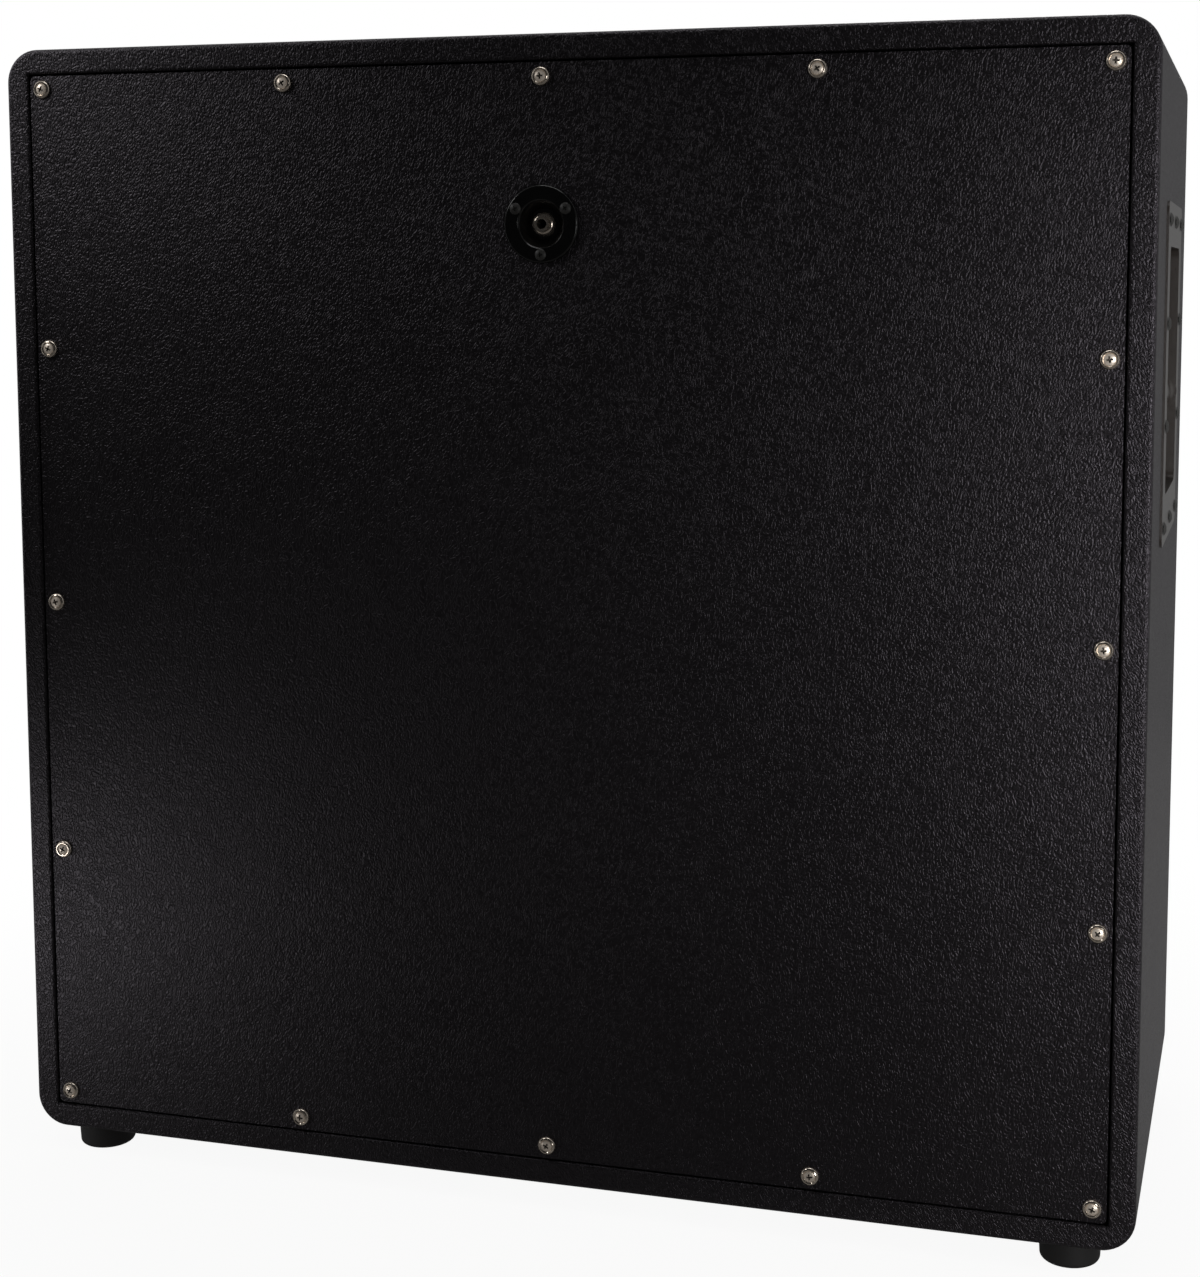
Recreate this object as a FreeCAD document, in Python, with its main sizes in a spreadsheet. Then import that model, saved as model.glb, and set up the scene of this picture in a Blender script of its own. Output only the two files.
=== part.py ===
import FreeCAD, Part
import math
import os
import Sketcher

# Guitar speaker cabinet with a closed back and four 12-inch drivers.
# Frame: +Z is up and the origin is on the floor, midway under the four feet.
# The back panel with the input jack faces +Y and the grille faces -Y.

doc = FreeCAD.newDocument("SpeakerCabinet")
sheet = doc.addObject("Spreadsheet::Sheet", "Sizes")

# Every driving size in millimetres, with what it measures.
size_table = (
    ("shell_width", 762.0, "outside width over the covering"),
    ("shell_height", 749.0, "outside height without the feet"),
    ("shell_depth", 350.0, "outside depth"),
    ("corner_round", 22.0, "radius of the four long outer edges"),
    ("rim_round", 3.0, "outer radius of the front and rear rims"),
    ("lip_round", 2.0, "inner radius of the front and rear rims"),
    ("covering_thick", 0.8, "thickness of the vinyl covering"),
    ("ply_thick", 15.0, "plywood of the carcass"),
    ("cleat_side", 20.0, "side of the square cleats"),
    ("post_side", 45.0, "side of the centre post"),
    ("post_bevel", 5.0, "bevel of the centre post"),
    ("glue_gap", 0.1, "gap between pieces that are pushed together"),
    ("hole_gap", 0.1, "radial gap round a shank in its hole"),
    ("cut_over", 5.0, "overrun of a cut past the face that it opens"),
    ("back_thick", 15.0, "plywood of the back panel"),
    ("back_gap", 1.2, "gap round the back panel"),
    ("back_sink", 1.0, "back panel's face below the rear rim"),
    ("back_round", 3.0, "corner radius of the covered back panel"),
    ("screw_inset", 8.75, "back screw's axis in from the panel's edge"),
    ("screw_shank", 1.9, "radius of the back panel screws"),
    ("screw_long", 31.0, "back panel screw below the panel's face"),
    ("screw_tip", 4.0, "length of a screw's point"),
    ("screw_head", 4.0, "radius of the countersunk head"),
    ("screw_crown", 1.1, "rise of the oval head"),
    ("cup_radius", 6.1, "radius of the cup washers"),
    ("cup_tall", 2.4, "height of the cup washers"),
    ("cup_edge", 0.5, "thickness of a cup washer at its rim"),
    ("cup_land", 0.35, "flat ring at the top of a cup washer"),
    ("cup_bend", 2.6, "radius of a cup washer's outer curve"),
    ("seat_gap", 0.3, "gap between a head and its seat"),
    ("foot_height", 16.5, "height of the rubber feet"),
    ("foot_radius", 19.6, "radius of a foot at the top"),
    ("foot_sole", 18.9, "radius of a foot near the floor"),
    ("foot_round", 3.5, "round of a foot's bottom edge"),
    ("foot_side_inset", 41.5, "foot's axis in from the side"),
    ("foot_end_inset", 24.0, "foot's axis in from the front or rear"),
    ("foot_well", 7.0, "radius of the screw well in a foot"),
    ("foot_web", 9.0, "rubber over the screw well"),
    ("foot_shank", 2.4, "radius of the foot screws"),
    ("foot_bite", 11.0, "foot screw inside the bottom panel"),
    ("foot_head", 5.2, "radius of a foot screw's head"),
    ("foot_head_tall", 3.2, "height of a foot screw's head"),
    ("handle_drop", 213.8, "handle plate's middle below the box top"),
    ("handle_tall", 218.5, "height of the handle plate"),
    ("handle_wide", 174.0, "width of the handle plate"),
    ("handle_round", 8.0, "corner radius of the handle plate"),
    ("handle_plate", 1.5, "thickness of the handle plate"),
    ("handle_wall", 2.0, "wall of the handle dish"),
    ("handle_deep", 56.0, "depth of the handle dish"),
    ("grip_end_rim", 29.75, "plate above and below the hand opening"),
    ("grip_side_rim", 27.0, "plate on each side of the hand opening"),
    ("grip_round", 8.0, "corner radius of the hand opening"),
    ("grip_lift", 1.75, "hand opening's middle above the plate's middle"),
    ("dish_round", 6.0, "radius round the floor of the dish"),
    ("bar_radius", 9.7, "radius of the grip bar"),
    ("bar_sink", 3.9, "grip bar's outer side below the plate's face"),
    ("bar_drop", 16.5, "grip bar's axis below the plate's middle"),
    ("bar_flare", 14.0, "radius of the grip bar's roots"),
    ("bar_flare_long", 7.0, "length of the grip bar's flared root"),
    ("bar_flare_bend", 9.0, "radius of the flare's curve"),
    ("handle_end_inset", 11.45, "handle screw's axis in from the plate's ends"),
    ("handle_side_inset", 14.0, "handle screw's axis in from the plate's sides"),
    ("handle_shank", 1.9, "radius of the handle screws"),
    ("handle_bite", 13.0, "length of the handle screws"),
    ("dome_radius", 4.4, "radius of a domed screw head"),
    ("dome_tall", 2.3, "height of a domed screw head"),
    ("jack_drop", 118.7, "jack's axis below the box top"),
    ("dish_radius", 24.8, "radius of the jack dish"),
    ("dish_flange", 2.2, "thickness of the jack dish's flange"),
    ("dish_edge", 0.8, "thickness of the flange at its edge"),
    ("dish_bend", 2.6, "radius of the flange's edge curve"),
    ("dish_mouth", 14.8, "radius of the jack dish's mouth"),
    ("dish_lip", 0.8, "bevel round the jack dish's mouth"),
    ("dish_floor", 9.7, "radius of the jack dish's floor"),
    ("dish_deep", 6.5, "floor of the jack dish below the panel's face"),
    ("dish_wall", 2.0, "wall of the jack dish"),
    ("dish_room", 0.7, "gap round the jack dish in the panel"),
    ("dish_circle", 19.3, "radius of the jack dish's screw circle"),
    ("dish_shank", 1.5, "radius of the jack dish screws"),
    ("dish_bite", 12.0, "length of the jack dish screws"),
    ("dish_head", 3.7, "radius of the jack dish screw heads"),
    ("dish_head_tall", 1.8, "height of the jack dish screw heads"),
    ("bushing_radius", 4.7, "outer radius of the jack's bushing"),
    ("bushing_bore", 3.25, "radius of the plug hole"),
    ("bushing_rise", 6.6, "bushing above the dish floor"),
    ("shoulder_radius", 8.0, "radius of the jack's shoulder"),
    ("shoulder_thick", 2.0, "thickness of the jack's shoulder"),
    ("nut_radius", 7.7, "radius of the round dress nut"),
    ("nut_side", 1.0, "straight side of the dress nut"),
    ("nut_tall", 4.6, "height of the dress nut"),
    ("nut_land", 0.5, "flat ring at the top of the dress nut"),
    ("nut_bend", 3.4, "radius of the dress nut's shoulder"),
    ("frame_drop", 8.0, "jack frame's outer face from the jack's axis"),
    ("frame_thick", 1.2, "thickness of the jack frame"),
    ("frame_wide", 10.0, "width of the jack frame"),
    ("frame_long", 30.0, "length of the jack frame behind the shoulder"),
    ("stack_long", 9.0, "length of the jack's insulator"),
    ("stack_thick", 2.4, "thickness of the jack's insulator"),
    ("contact_thick", 0.5, "thickness of the contact leaf"),
    ("contact_wide", 6.0, "width of the contact leaf"),
    ("contact_long", 22.0, "length of the contact leaf"),
    ("contact_tail", 4.0, "contact leaf's tail behind the frame"),
    ("contact_hump", 0.5, "rise of the contact leaf's nose"),
    ("baffle_thick", 18.0, "thickness of the baffle board"),
    ("baffle_gap", 0.5, "gap round the baffle board"),
    ("baffle_shank", 2.0, "radius of the baffle screws"),
    ("baffle_bite", 34.0, "length of the baffle screws"),
    ("baffle_head", 4.0, "radius of the baffle screw heads"),
    ("baffle_head_tall", 1.6, "height of the baffle screw heads"),
    ("grille_sink", 6.0, "grille cloth below the front rim"),
    ("grille_gap", 1.0, "gap round the grille"),
    ("grille_thick", 12.0, "thickness of the grille frame"),
    ("grille_rail", 36.0, "width of the grille frame's outer rails"),
    ("grille_bar", 30.0, "width of the grille frame's middle bars"),
    ("cloth_thick", 1.0, "thickness of the grille cloth"),
    ("cloth_turn", 25.0, "cloth turned in behind the frame"),
    ("pad_thick", 3.0, "thickness of the hook pads"),
    ("pad_long", 50.0, "length of a hook pad"),
    ("pad_wide", 20.0, "width of a hook pad"),
    ("pad_place", 90.0, "hook pads' distance from the middle lines"),
    ("lining_gap", 0.5, "gap between the front lining and the baffle"),
    ("driver_mid_gap", 15.5, "driver's flange from the middle line"),
    ("driver_side_gap", 20.7, "driver's flange from the side cleat"),
    ("driver_end_gap", 14.2, "driver's flange from the top or bottom cleat"),
    ("hole_inset", 13.0, "baffle cut-out in from the flange's edge"),
    ("mouth_inset", 15.5, "basket's inner wall in from the flange's edge"),
    ("basket_collar", 12.0, "depth of the basket's straight collar"),
    ("shelf_radius", 66.0, "outer radius of the spider shelf"),
    ("shelf_inner", 54.0, "inner radius of the spider shelf"),
    ("shelf_deep", 62.0, "spider shelf behind the flange's face"),
    ("seat_deep", 70.0, "basket's floor behind the flange's face"),
    ("seat_hole", 26.0, "hole in the basket's floor"),
    ("steel_thick", 1.6, "sheet steel of the basket"),
    ("window_inner", 76.0, "inner radius of a basket window"),
    ("window_inset", 24.5, "basket window in from the flange's edge"),
    ("bolt_inset", 5.0, "driver bolt's axis in from the flange's edge"),
    ("bolt_radius", 2.5, "radius of the driver bolts"),
    ("bolt_room", 0.5, "gap round a driver bolt"),
    ("bolt_head", 4.8, "radius of a driver bolt's head"),
    ("bolt_head_tall", 3.0, "height of a driver bolt's head"),
    ("bolt_short", 2.0, "bolt's end behind the baffle's front"),
    ("tee_radius", 9.0, "radius of a T-nut's flange"),
    ("tee_thick", 1.4, "thickness of a T-nut's flange"),
    ("tee_barrel", 3.6, "outer radius of a T-nut's barrel"),
    ("tee_long", 9.0, "length of a T-nut's barrel"),
    ("gasket_thick", 3.0, "thickness of the driver gasket"),
    ("gasket_wide", 8.7, "width of the driver gasket"),
    ("surround_gap", 0.5, "gap between the surround and the gasket"),
    ("surround_lip", 6.7, "width of the surround's flat lip"),
    ("surround_thick", 0.6, "thickness of the surround"),
    ("pleat_bend", 2.2, "radius of the surround's pleats"),
    ("pleats_wide", 10.6, "width of the surround's pleats"),
    ("land_wide", 6.0, "width of the cone's flat rim"),
    ("cone_neck", 22.9, "radius of the cone's neck"),
    ("cone_deep", 56.0, "depth of the cone"),
    ("cone_thick", 0.8, "thickness of the cone, along the axis"),
    ("cap_radius", 36.0, "radius of the dust cap"),
    ("cap_rise", 12.0, "rise of the dust cap"),
    ("cap_thick", 0.7, "thickness of the dust cap"),
    ("cap_gap", 0.2, "glue line under the dust cap"),
    ("former_inner", 22.3, "inner radius of the voice coil former"),
    ("former_outer", 22.7, "outer radius of the voice coil former"),
    ("former_front", 54.0, "front end of the former"),
    ("coil_radius", 23.4, "outer radius of the winding"),
    ("coil_long", 11.0, "length of the winding"),
    ("spider_collar", 26.0, "outer radius of the spider's collar"),
    ("spider_free", 54.5, "outer radius of the spider's waves"),
    ("spider_outer", 62.0, "outer radius of the spider"),
    ("spider_thick", 0.5, "thickness of the spider"),
    ("spider_bend", 2.8, "radius of the spider's waves"),
    ("plate_radius", 62.0, "radius of the top and back plates"),
    ("plate_bore", 23.9, "bore of the top plate"),
    ("plate_thick", 8.0, "thickness of the top plate"),
    ("magnet_radius", 78.0, "outer radius of the magnet"),
    ("magnet_bore", 36.0, "bore of the magnet"),
    ("magnet_thick", 20.0, "thickness of the magnet"),
    ("magnet_bevel", 2.0, "bevel of the magnet's edges"),
    ("pole_radius", 21.7, "radius of the pole piece"),
    ("yoke_thick", 8.0, "thickness of the back plate"),
    ("board_long", 24.0, "length of a terminal board"),
    ("board_wide", 26.0, "width of a terminal board"),
    ("board_thick", 3.0, "thickness of a terminal board"),
    ("lug_space", 14.0, "spacing of the two terminal lugs"),
    ("lug_wide", 6.3, "width of a terminal lug"),
    ("lug_thick", 0.8, "thickness of a terminal lug"),
    ("lug_tall", 10.0, "height of a terminal lug"),
    ("wire_radius", 1.3, "radius of an insulated wire"),
    ("wire_lift", 22.0, "wires' run behind the terminal lugs"),
    ("wire_step", 6.0, "spacing between two runs of wire"),
    ("wire_bend", 14.0, "bend radius of the wires"),
)

for row, (alias, value, note) in enumerate(size_table, 1):
    sheet.set("A%d" % row, note)
    sheet.set("B%d" % row, "%r" % value)
    sheet.setAlias("B%d" % row, alias)
doc.recompute()


class Length:
    """A number together with the sheet expression that gives it."""

    def __init__(self, number, text):
        self.number = number
        self.text = text

    def __add__(self, other):
        other = length(other)
        return Length(self.number + other.number, "(%s + %s)" % (self.text, other.text))

    def __sub__(self, other):
        other = length(other)
        return Length(self.number - other.number, "(%s - %s)" % (self.text, other.text))

    def __mul__(self, other):
        other = length(other)
        return Length(self.number * other.number, "(%s * %s)" % (self.text, other.text))

    def __truediv__(self, other):
        other = length(other)
        return Length(self.number / other.number, "(%s / %s)" % (self.text, other.text))

    def __neg__(self):
        return Length(-self.number, "(-1 * %s)" % self.text)


def length(thing):
    if isinstance(thing, Length):
        return thing
    return Length(float(thing), "%.12g" % thing)


def least(one, other):
    """The smaller of two lengths."""
    return Length(min(one.number, other.number), "min(%s; %s)" % (one.text, other.text))


class Sizes:
    """Gives a cell of the sheet by its alias."""

    def __getattr__(self, alias):
        return Length(float(sheet.get(alias)), "Sizes." + alias)


size = Sizes()


def bind(thing, prop, what):
    thing.setExpression(prop, length(what).text)


def origin_part(body, role):
    for feature in body.Origin.OriginFeatures:
        if feature.Role == role:
            return feature
    raise ValueError(role)


def new_body(name):
    body = doc.addObject("PartDesign::Body", name)
    body.Label = name
    return body


def new_sketch(body, plane, at, name):
    """A sketch on an origin plane, moved along the plane's own axis to the place at."""
    sketch = body.newObject("Sketcher::SketchObject", name)
    sketch.AttachmentSupport = (origin_part(body, plane + "_Plane"), [""])
    sketch.MapMode = "FlatFace"
    if at is not None:
        bind(sketch, "AttachmentOffset.Base.z", -at if plane == "XZ" else at)
    return sketch


def spot(corner):
    return FreeCAD.Vector(length(corner[0]).number, length(corner[1]).number, 0)


def place(sketch, rules, geometry, end, x, y):
    """Ties one point of the sketch to the two axes."""
    for value, kind, axis in ((x, "DistanceX", -2), (y, "DistanceY", -1)):
        if not isinstance(value, Length):
            sketch.addConstraint(Sketcher.Constraint("PointOnObject", geometry, end, axis))
        else:
            rule = Sketcher.Constraint(kind, -1, 1, geometry, end, value.number)
            rules.append((sketch.addConstraint(rule), value))


def settle(sketch, rules):
    for index, value in rules:
        sketch.setExpression("Constraints[%d]" % index, value.text)


def draw(sketch, corners):
    """A closed outline. A corner with a radius and a turn starts an arc, +1 to the left."""
    first = sketch.GeometryCount
    shapes, ends, arcs = [], [], []
    for k, corner in enumerate(corners):
        here, there = spot(corner), spot(corners[(k + 1) % len(corners)])
        if len(corner) == 2:
            shapes.append(Part.LineSegment(here, there))
            ends.append((1, 2))
            continue
        radius, turn = corner[2], corner[3]
        half = (there - here) * 0.5
        side = FreeCAD.Vector(-half.y, half.x, 0).normalize()
        rise = math.sqrt(max(0.0, radius.number ** 2 - half.Length ** 2))
        centre = here + half + side * (rise * turn)
        angles = [math.atan2(p.y - centre.y, p.x - centre.x) for p in (here, there)]
        if turn < 0:
            angles.reverse()
        if angles[1] < angles[0]:
            angles[1] += 2 * math.pi
        circle = Part.Circle(centre, FreeCAD.Vector(0, 0, 1), radius.number)
        shapes.append(Part.ArcOfCircle(circle, angles[0], angles[1]))
        ends.append((1, 2) if turn > 0 else (2, 1))
        arcs.append((first + k, radius))
    sketch.addGeometry(shapes, False)
    count = len(corners)
    joins = []
    for k in range(count):
        after = (k + 1) % count
        joins.append(Sketcher.Constraint("Coincident", first + k, ends[k][1], first + after, ends[after][0]))
    sketch.addConstraint(joins)
    rules = []
    for k, corner in enumerate(corners):
        place(sketch, rules, first + k, ends[k][0], corner[0], corner[1])
    for geometry, radius in arcs:
        rule = Sketcher.Constraint("Radius", geometry, radius.number)
        rules.append((sketch.addConstraint(rule), radius))
    settle(sketch, rules)


def ring(sketch, x, y, radius):
    """A full circle in the sketch."""
    geometry = sketch.GeometryCount
    circle = Part.Circle(spot((x, y)), FreeCAD.Vector(0, 0, 1), radius.number)
    sketch.addGeometry(circle, False)
    rules = []
    place(sketch, rules, geometry, 3, x, y)
    rule = Sketcher.Constraint("Radius", geometry, radius.number)
    rules.append((sketch.addConstraint(rule), radius))
    settle(sketch, rules)


def block(left, right, low, high):
    return [(left, low), (right, low), (right, high), (left, high)]


def rounded(left, right, low, high, radius):
    """A rectangle with round corners, drawn counter-clockwise."""
    return [
        (left + radius, low), (right - radius, low, radius, 1),
        (right, low + radius), (right, high - radius, radius, 1),
        (right - radius, high), (left + radius, high, radius, 1),
        (left, high - radius), (left, low + radius, radius, 1),
    ]


def pad(body, sketch, thick, towards, plane, name):
    """Thickens a sketch towards + or - along the plane's axis, or both ways for 0."""
    feature = body.newObject("PartDesign::Pad", name)
    feature.Profile = sketch
    bind(feature, "Length", thick)
    if towards == 0:
        feature.SideType = "Symmetric"
    else:
        feature.Reversed = (towards > 0) == (plane == "XZ")
    return feature


def pocket(body, sketch, name):
    """Cuts a sketch right through the body, both ways."""
    feature = body.newObject("PartDesign::Pocket", name)
    feature.Profile = sketch
    feature.Type = "ThroughAll"
    feature.SideType = "Symmetric"
    return feature


def pocket_deep(body, sketch, deep, towards, plane, name):
    """Cuts a sketch to a depth, towards + or - along the plane's axis."""
    feature = body.newObject("PartDesign::Pocket", name)
    feature.Profile = sketch
    bind(feature, "Length", deep)
    feature.Reversed = (towards > 0) != (plane == "XZ")
    return feature


def flat_piece(name, plane, at, thick, towards, outline, circles):
    """A board: one sketch with its holes, thickened."""
    body = new_body(name)
    sketch = new_sketch(body, plane, at, name + "_outline")
    draw(sketch, outline)
    for x, y, radius in circles:
        ring(sketch, x, y, radius)
    pad(body, sketch, thick, towards, plane, name + "_thickness")
    return body


def turned(name, corners):
    """A piece turned about the Y axis; its corners are radius and place along Y."""
    body = new_body(name)
    sketch = new_sketch(body, "XY", None, name + "_profile")
    draw(sketch, corners)
    feature = body.newObject("PartDesign::Revolution", name + "_turned")
    feature.Profile = sketch
    feature.ReferenceAxis = (sketch, ["V_Axis"])
    feature.Angle = 360
    return body


def round_edges(body, name, radius, wanted):
    """Rounds the edges of the body's tip that the test wanted picks."""
    doc.recompute()
    tip = body.Tip
    names = ["Edge%d" % (k + 1) for k, edge in enumerate(tip.Shape.Edges) if wanted(edge)]
    feature = body.newObject("PartDesign::Fillet", name)
    feature.Base = (tip, names)
    bind(feature, "Radius", radius)
    return feature


def box(name, x_from, y_from, z_from, x_long, y_long, z_long):
    """A plain block from one corner and three lengths."""
    item = doc.addObject("Part::Box", name)
    item.Label = name
    bind(item, "Placement.Base.x", x_from)
    bind(item, "Placement.Base.y", y_from)
    bind(item, "Placement.Base.z", z_from)
    bind(item, "Length", x_long)
    bind(item, "Width", y_long)
    bind(item, "Height", z_long)
    return item


def boolean(kind, name, base, tool):
    item = doc.addObject("Part::" + kind, name)
    item.Label = name
    item.Base = base
    item.Tool = tool
    return item


def copy_at(name, source, x, y, z, rotation=None):
    """Another of a piece that is already modelled, at its own place."""
    item = doc.addObject("App::Link", name)
    item.Label = name
    item.LinkedObject = source
    if rotation is not None:
        item.Placement = FreeCAD.Placement(FreeCAD.Vector(), rotation)
    bind(item, "Placement.Base.x", x)
    bind(item, "Placement.Base.y", y)
    bind(item, "Placement.Base.z", z)
    return item


def group(name, pieces):
    item = doc.addObject("Part::Compound", name)
    item.Label = name
    item.Links = pieces
    return item


nodes = []


def keep(*pieces):
    nodes.extend(pieces)


turn_up = FreeCAD.Rotation(FreeCAD.Vector(1, 0, 0), 90)
turn_right = FreeCAD.Rotation(FreeCAD.Vector(0, 0, 1), -90)
turn_left = FreeCAD.Rotation(FreeCAD.Vector(0, 0, 1), 90)
turn_round = FreeCAD.Rotation(FreeCAD.Vector(0, 0, 1), 180)

# Main planes of the cabinet, each as its distance from the middle.
half_w = size.shell_width / 2
half_h = size.shell_height / 2
half_d = size.shell_depth / 2
skin = size.covering_thick
mid_z = size.foot_height + half_h
ply_w, ply_h, ply_d = half_w - skin, half_h - skin, half_d - skin
in_w, in_h = ply_w - size.ply_thick, ply_h - size.ply_thick
open_w, open_h = in_w - skin, in_h - skin
back_w, back_h = open_w - size.back_gap, open_h - size.back_gap
back_face = half_d - size.back_sink
board_out = back_face - skin
board_in = board_out - size.back_thick
cloth_face = size.grille_sink - half_d
frame_front = cloth_face + size.cloth_thick
frame_back = frame_front + size.grille_thick
turn_back = frame_back + size.cloth_thick
baffle_front = turn_back + size.pad_thick
baffle_back = baffle_front + size.baffle_thick
driver_y = baffle_back + size.gasket_thick
handle_z = mid_z + half_h - size.handle_drop
jack_z = mid_z + half_h - size.jack_drop
near = 0.01


def tube(name, w, h, d, corner, hole_w, hole_h, outer_round, inner_round):
    """A square tube along Y with round corners and rounded rims."""
    body = new_body(name)
    sketch = new_sketch(body, "XZ", None, name + "_outline")
    draw(sketch, rounded(-w, w, mid_z - h, mid_z + h, corner))
    pad(body, sketch, d * 2, 0, "XZ", name + "_length")
    hole = new_sketch(body, "XZ", None, name + "_hole")
    draw(hole, block(-hole_w, hole_w, mid_z - hole_h, mid_z + hole_h))
    pocket(body, hole, name + "_bore")

    def on_rim(edge):
        limits = edge.BoundBox
        flat = limits.YLength < near
        return flat and abs(abs(limits.YMin) - d.number) < near

    def inside(edge):
        limits = edge.BoundBox
        across = max(-limits.XMin, limits.XMax) < hole_w.number + near
        up = limits.ZMax < (mid_z + hole_h).number + near
        return across and up and limits.ZMin > (mid_z - hole_h).number - near

    round_edges(body, name + "_rims", outer_round, lambda e: on_rim(e) and not inside(e))
    round_edges(body, name + "_lips", inner_round, lambda e: on_rim(e) and inside(e))
    return body


# Carcass: the four panels are cut from this tube, so that their outer edges are rounded together.
carcass = tube(
    "carcass_tube", ply_w, ply_h, ply_d, size.corner_round - skin, in_w, in_h,
    size.rim_round - skin, size.lip_round - skin,
)
wrap = tube(
    "covering_tube", half_w, half_h, half_d, size.corner_round, open_w, open_h,
    size.rim_round, size.lip_round,
)

# Finger joints: the side panels hold the first, third and further fingers, the others the rest.
finger_count = 11
finger = ply_d * 2 / finger_count


def comb(low_out, low_in, high_out, high_in, own):
    """The outline of a panel with fingers at both ends, as pairs of depth and reach."""
    low, high = [], []
    for k in range(finger_count):
        has = k % 2 == own
        for edge in (k, k + 1):
            depth = finger * edge - ply_d
            low.append((depth, low_out if has else low_in))
            high.append((depth, high_out if has else high_in))
    high.reverse()
    return low + high


low_z, high_z = mid_z - ply_h, mid_z + ply_h
side_outline = comb(low_z, mid_z - in_h, high_z, mid_z + in_h, 0)
lid_outline = [(reach, depth) for depth, reach in comb(-ply_w, -in_w, ply_w, in_w, 1)]

# Handle screws: two columns of four, and one more in the middle of the top and bottom rows.
plate_w, plate_h = size.handle_wide / 2, size.handle_tall / 2
column = plate_w - size.handle_side_inset
row = plate_h - size.handle_end_inset
handle_spots = []
for row_share in (-1, -1 / 3, 1 / 3, 1):
    for column_share in (-1, 1):
        handle_spots.append((column * column_share, handle_z + row * row_share))
for row_share in (-1, 1):
    handle_spots.append((0, handle_z + row * row_share))
grip_z = handle_z + size.grip_lift
grip_w, grip_h = plate_w - size.grip_side_rim, plate_h - size.grip_end_rim
dish_w, dish_h = grip_w + size.handle_wall, grip_h + size.handle_wall
cut_w, cut_h = dish_w + size.seat_gap, dish_h + size.seat_gap
cut_round = size.grip_round + size.handle_wall + size.seat_gap
cut_outline = rounded(-cut_w, cut_w, grip_z - cut_h, grip_z + cut_h, cut_round)

side_blank = new_body("side_blank")
sketch = new_sketch(side_blank, "YZ", in_w, "side_fingers")
draw(sketch, side_outline)
pad(side_blank, sketch, size.ply_thick, 1, "YZ", "side_thickness")
sketch = new_sketch(side_blank, "YZ", in_w, "side_cut_out")
draw(sketch, cut_outline)
for depth, height in handle_spots:
    ring(sketch, depth, height, size.handle_shank + size.hole_gap)
pocket(side_blank, sketch, "side_openings")
side_right = boolean("Common", "side_panel_right", carcass, side_blank)
side_left = doc.addObject("Part::Mirroring", "side_panel_left")
side_left.Label = "side_panel_left"
side_left.Source = side_right
side_left.Normal = FreeCAD.Vector(1, 0, 0)

foot_spots = []
for across_share in (-1, 1):
    for depth_share in (-1, 1):
        x = (half_w - size.foot_side_inset) * across_share
        foot_spots.append((x, (half_d - size.foot_end_inset) * depth_share))
foot_hole = size.foot_shank + size.hole_gap

top_blank = flat_piece("top_blank", "XY", mid_z + in_h, size.ply_thick, 1, lid_outline, [])
top = boolean("Common", "top_panel", carcass, top_blank)
bottom_blank = flat_piece(
    "bottom_blank", "XY", mid_z - in_h, size.ply_thick, -1, lid_outline,
    [(x, y, foot_hole) for x, y in foot_spots],
)
bottom = boolean("Common", "bottom_panel", carcass, bottom_blank)
keep(side_right, side_left, top, bottom)

# Covering: a skin outside, folded over both rims and a little way into both openings.
lining_front = baffle_front - size.lining_gap
hollow = box(
    "middle_hollow", -in_w, lining_front, mid_z - in_h, in_w * 2, board_in - lining_front, in_h * 2,
)
skin_only = boolean("Cut", "covering_without_ply", wrap, carcass)
skin_open = boolean("Cut", "covering_without_middle", skin_only, hollow)
handle_void = flat_piece(
    "handle_void", "YZ", None, size.shell_width + size.cut_over, 0, cut_outline,
    [(y, z, size.handle_shank + size.hole_gap) for y, z in handle_spots],
)
skin_handles = boolean("Cut", "covering_with_handle_holes", skin_open, handle_void)
foot_voids = []
for k, (x, y) in enumerate(foot_spots):
    item = doc.addObject("Part::Cylinder", "foot_void_%d" % (k + 1))
    bind(item, "Radius", foot_hole)
    bind(item, "Height", size.foot_height + size.ply_thick)
    bind(item, "Placement.Base.x", x)
    bind(item, "Placement.Base.y", y)
    foot_voids.append(item)
covering = boolean("Cut", "shell_covering", skin_handles, group("foot_voids", foot_voids))
keep(covering)


def cleats(name, y_from):
    """Four strips round the inside of the carcass, the upright ones between the others."""
    side = size.cleat_side
    low, high = mid_z - in_h, mid_z + in_h
    upright = in_h * 2 - side * 2
    return [
        box(name + "_bottom", -in_w, y_from, low, in_w * 2, side, side),
        box(name + "_top", -in_w, y_from, high - side, in_w * 2, side, side),
        box(name + "_left", -in_w, y_from, low + side, side, side, upright),
        box(name + "_right", in_w - side, y_from, low + side, side, side, upright),
    ]


def border(w, h):
    """Sixteen places round a rectangle, five along each side."""
    spots = []
    for across_share in (-1, -0.5, 0, 0.5, 1):
        for up_share in (-1, -0.5, 0, 0.5, 1):
            if abs(across_share) == 1 or abs(up_share) == 1:
                x = w * across_share if across_share else 0
                spots.append((x, mid_z + h * up_share))
    return spots


def drilled(name, strips, spots, radius, y_from, y_long):
    """The strips as one group, with round holes along Y."""
    drills = []
    for k, (x, z) in enumerate(spots):
        item = doc.addObject("Part::Cylinder", "%s_drill_%d" % (name, k + 1))
        item.Placement = FreeCAD.Placement(FreeCAD.Vector(), FreeCAD.Rotation(FreeCAD.Vector(1, 0, 0), -90))
        bind(item, "Radius", radius)
        bind(item, "Height", y_long)
        bind(item, "Placement.Base.x", x)
        bind(item, "Placement.Base.y", y_from)
        bind(item, "Placement.Base.z", z)
        drills.append(item)
    return boolean("Cut", name, group(name + "_strips", strips), group(name + "_drills", drills))


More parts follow.
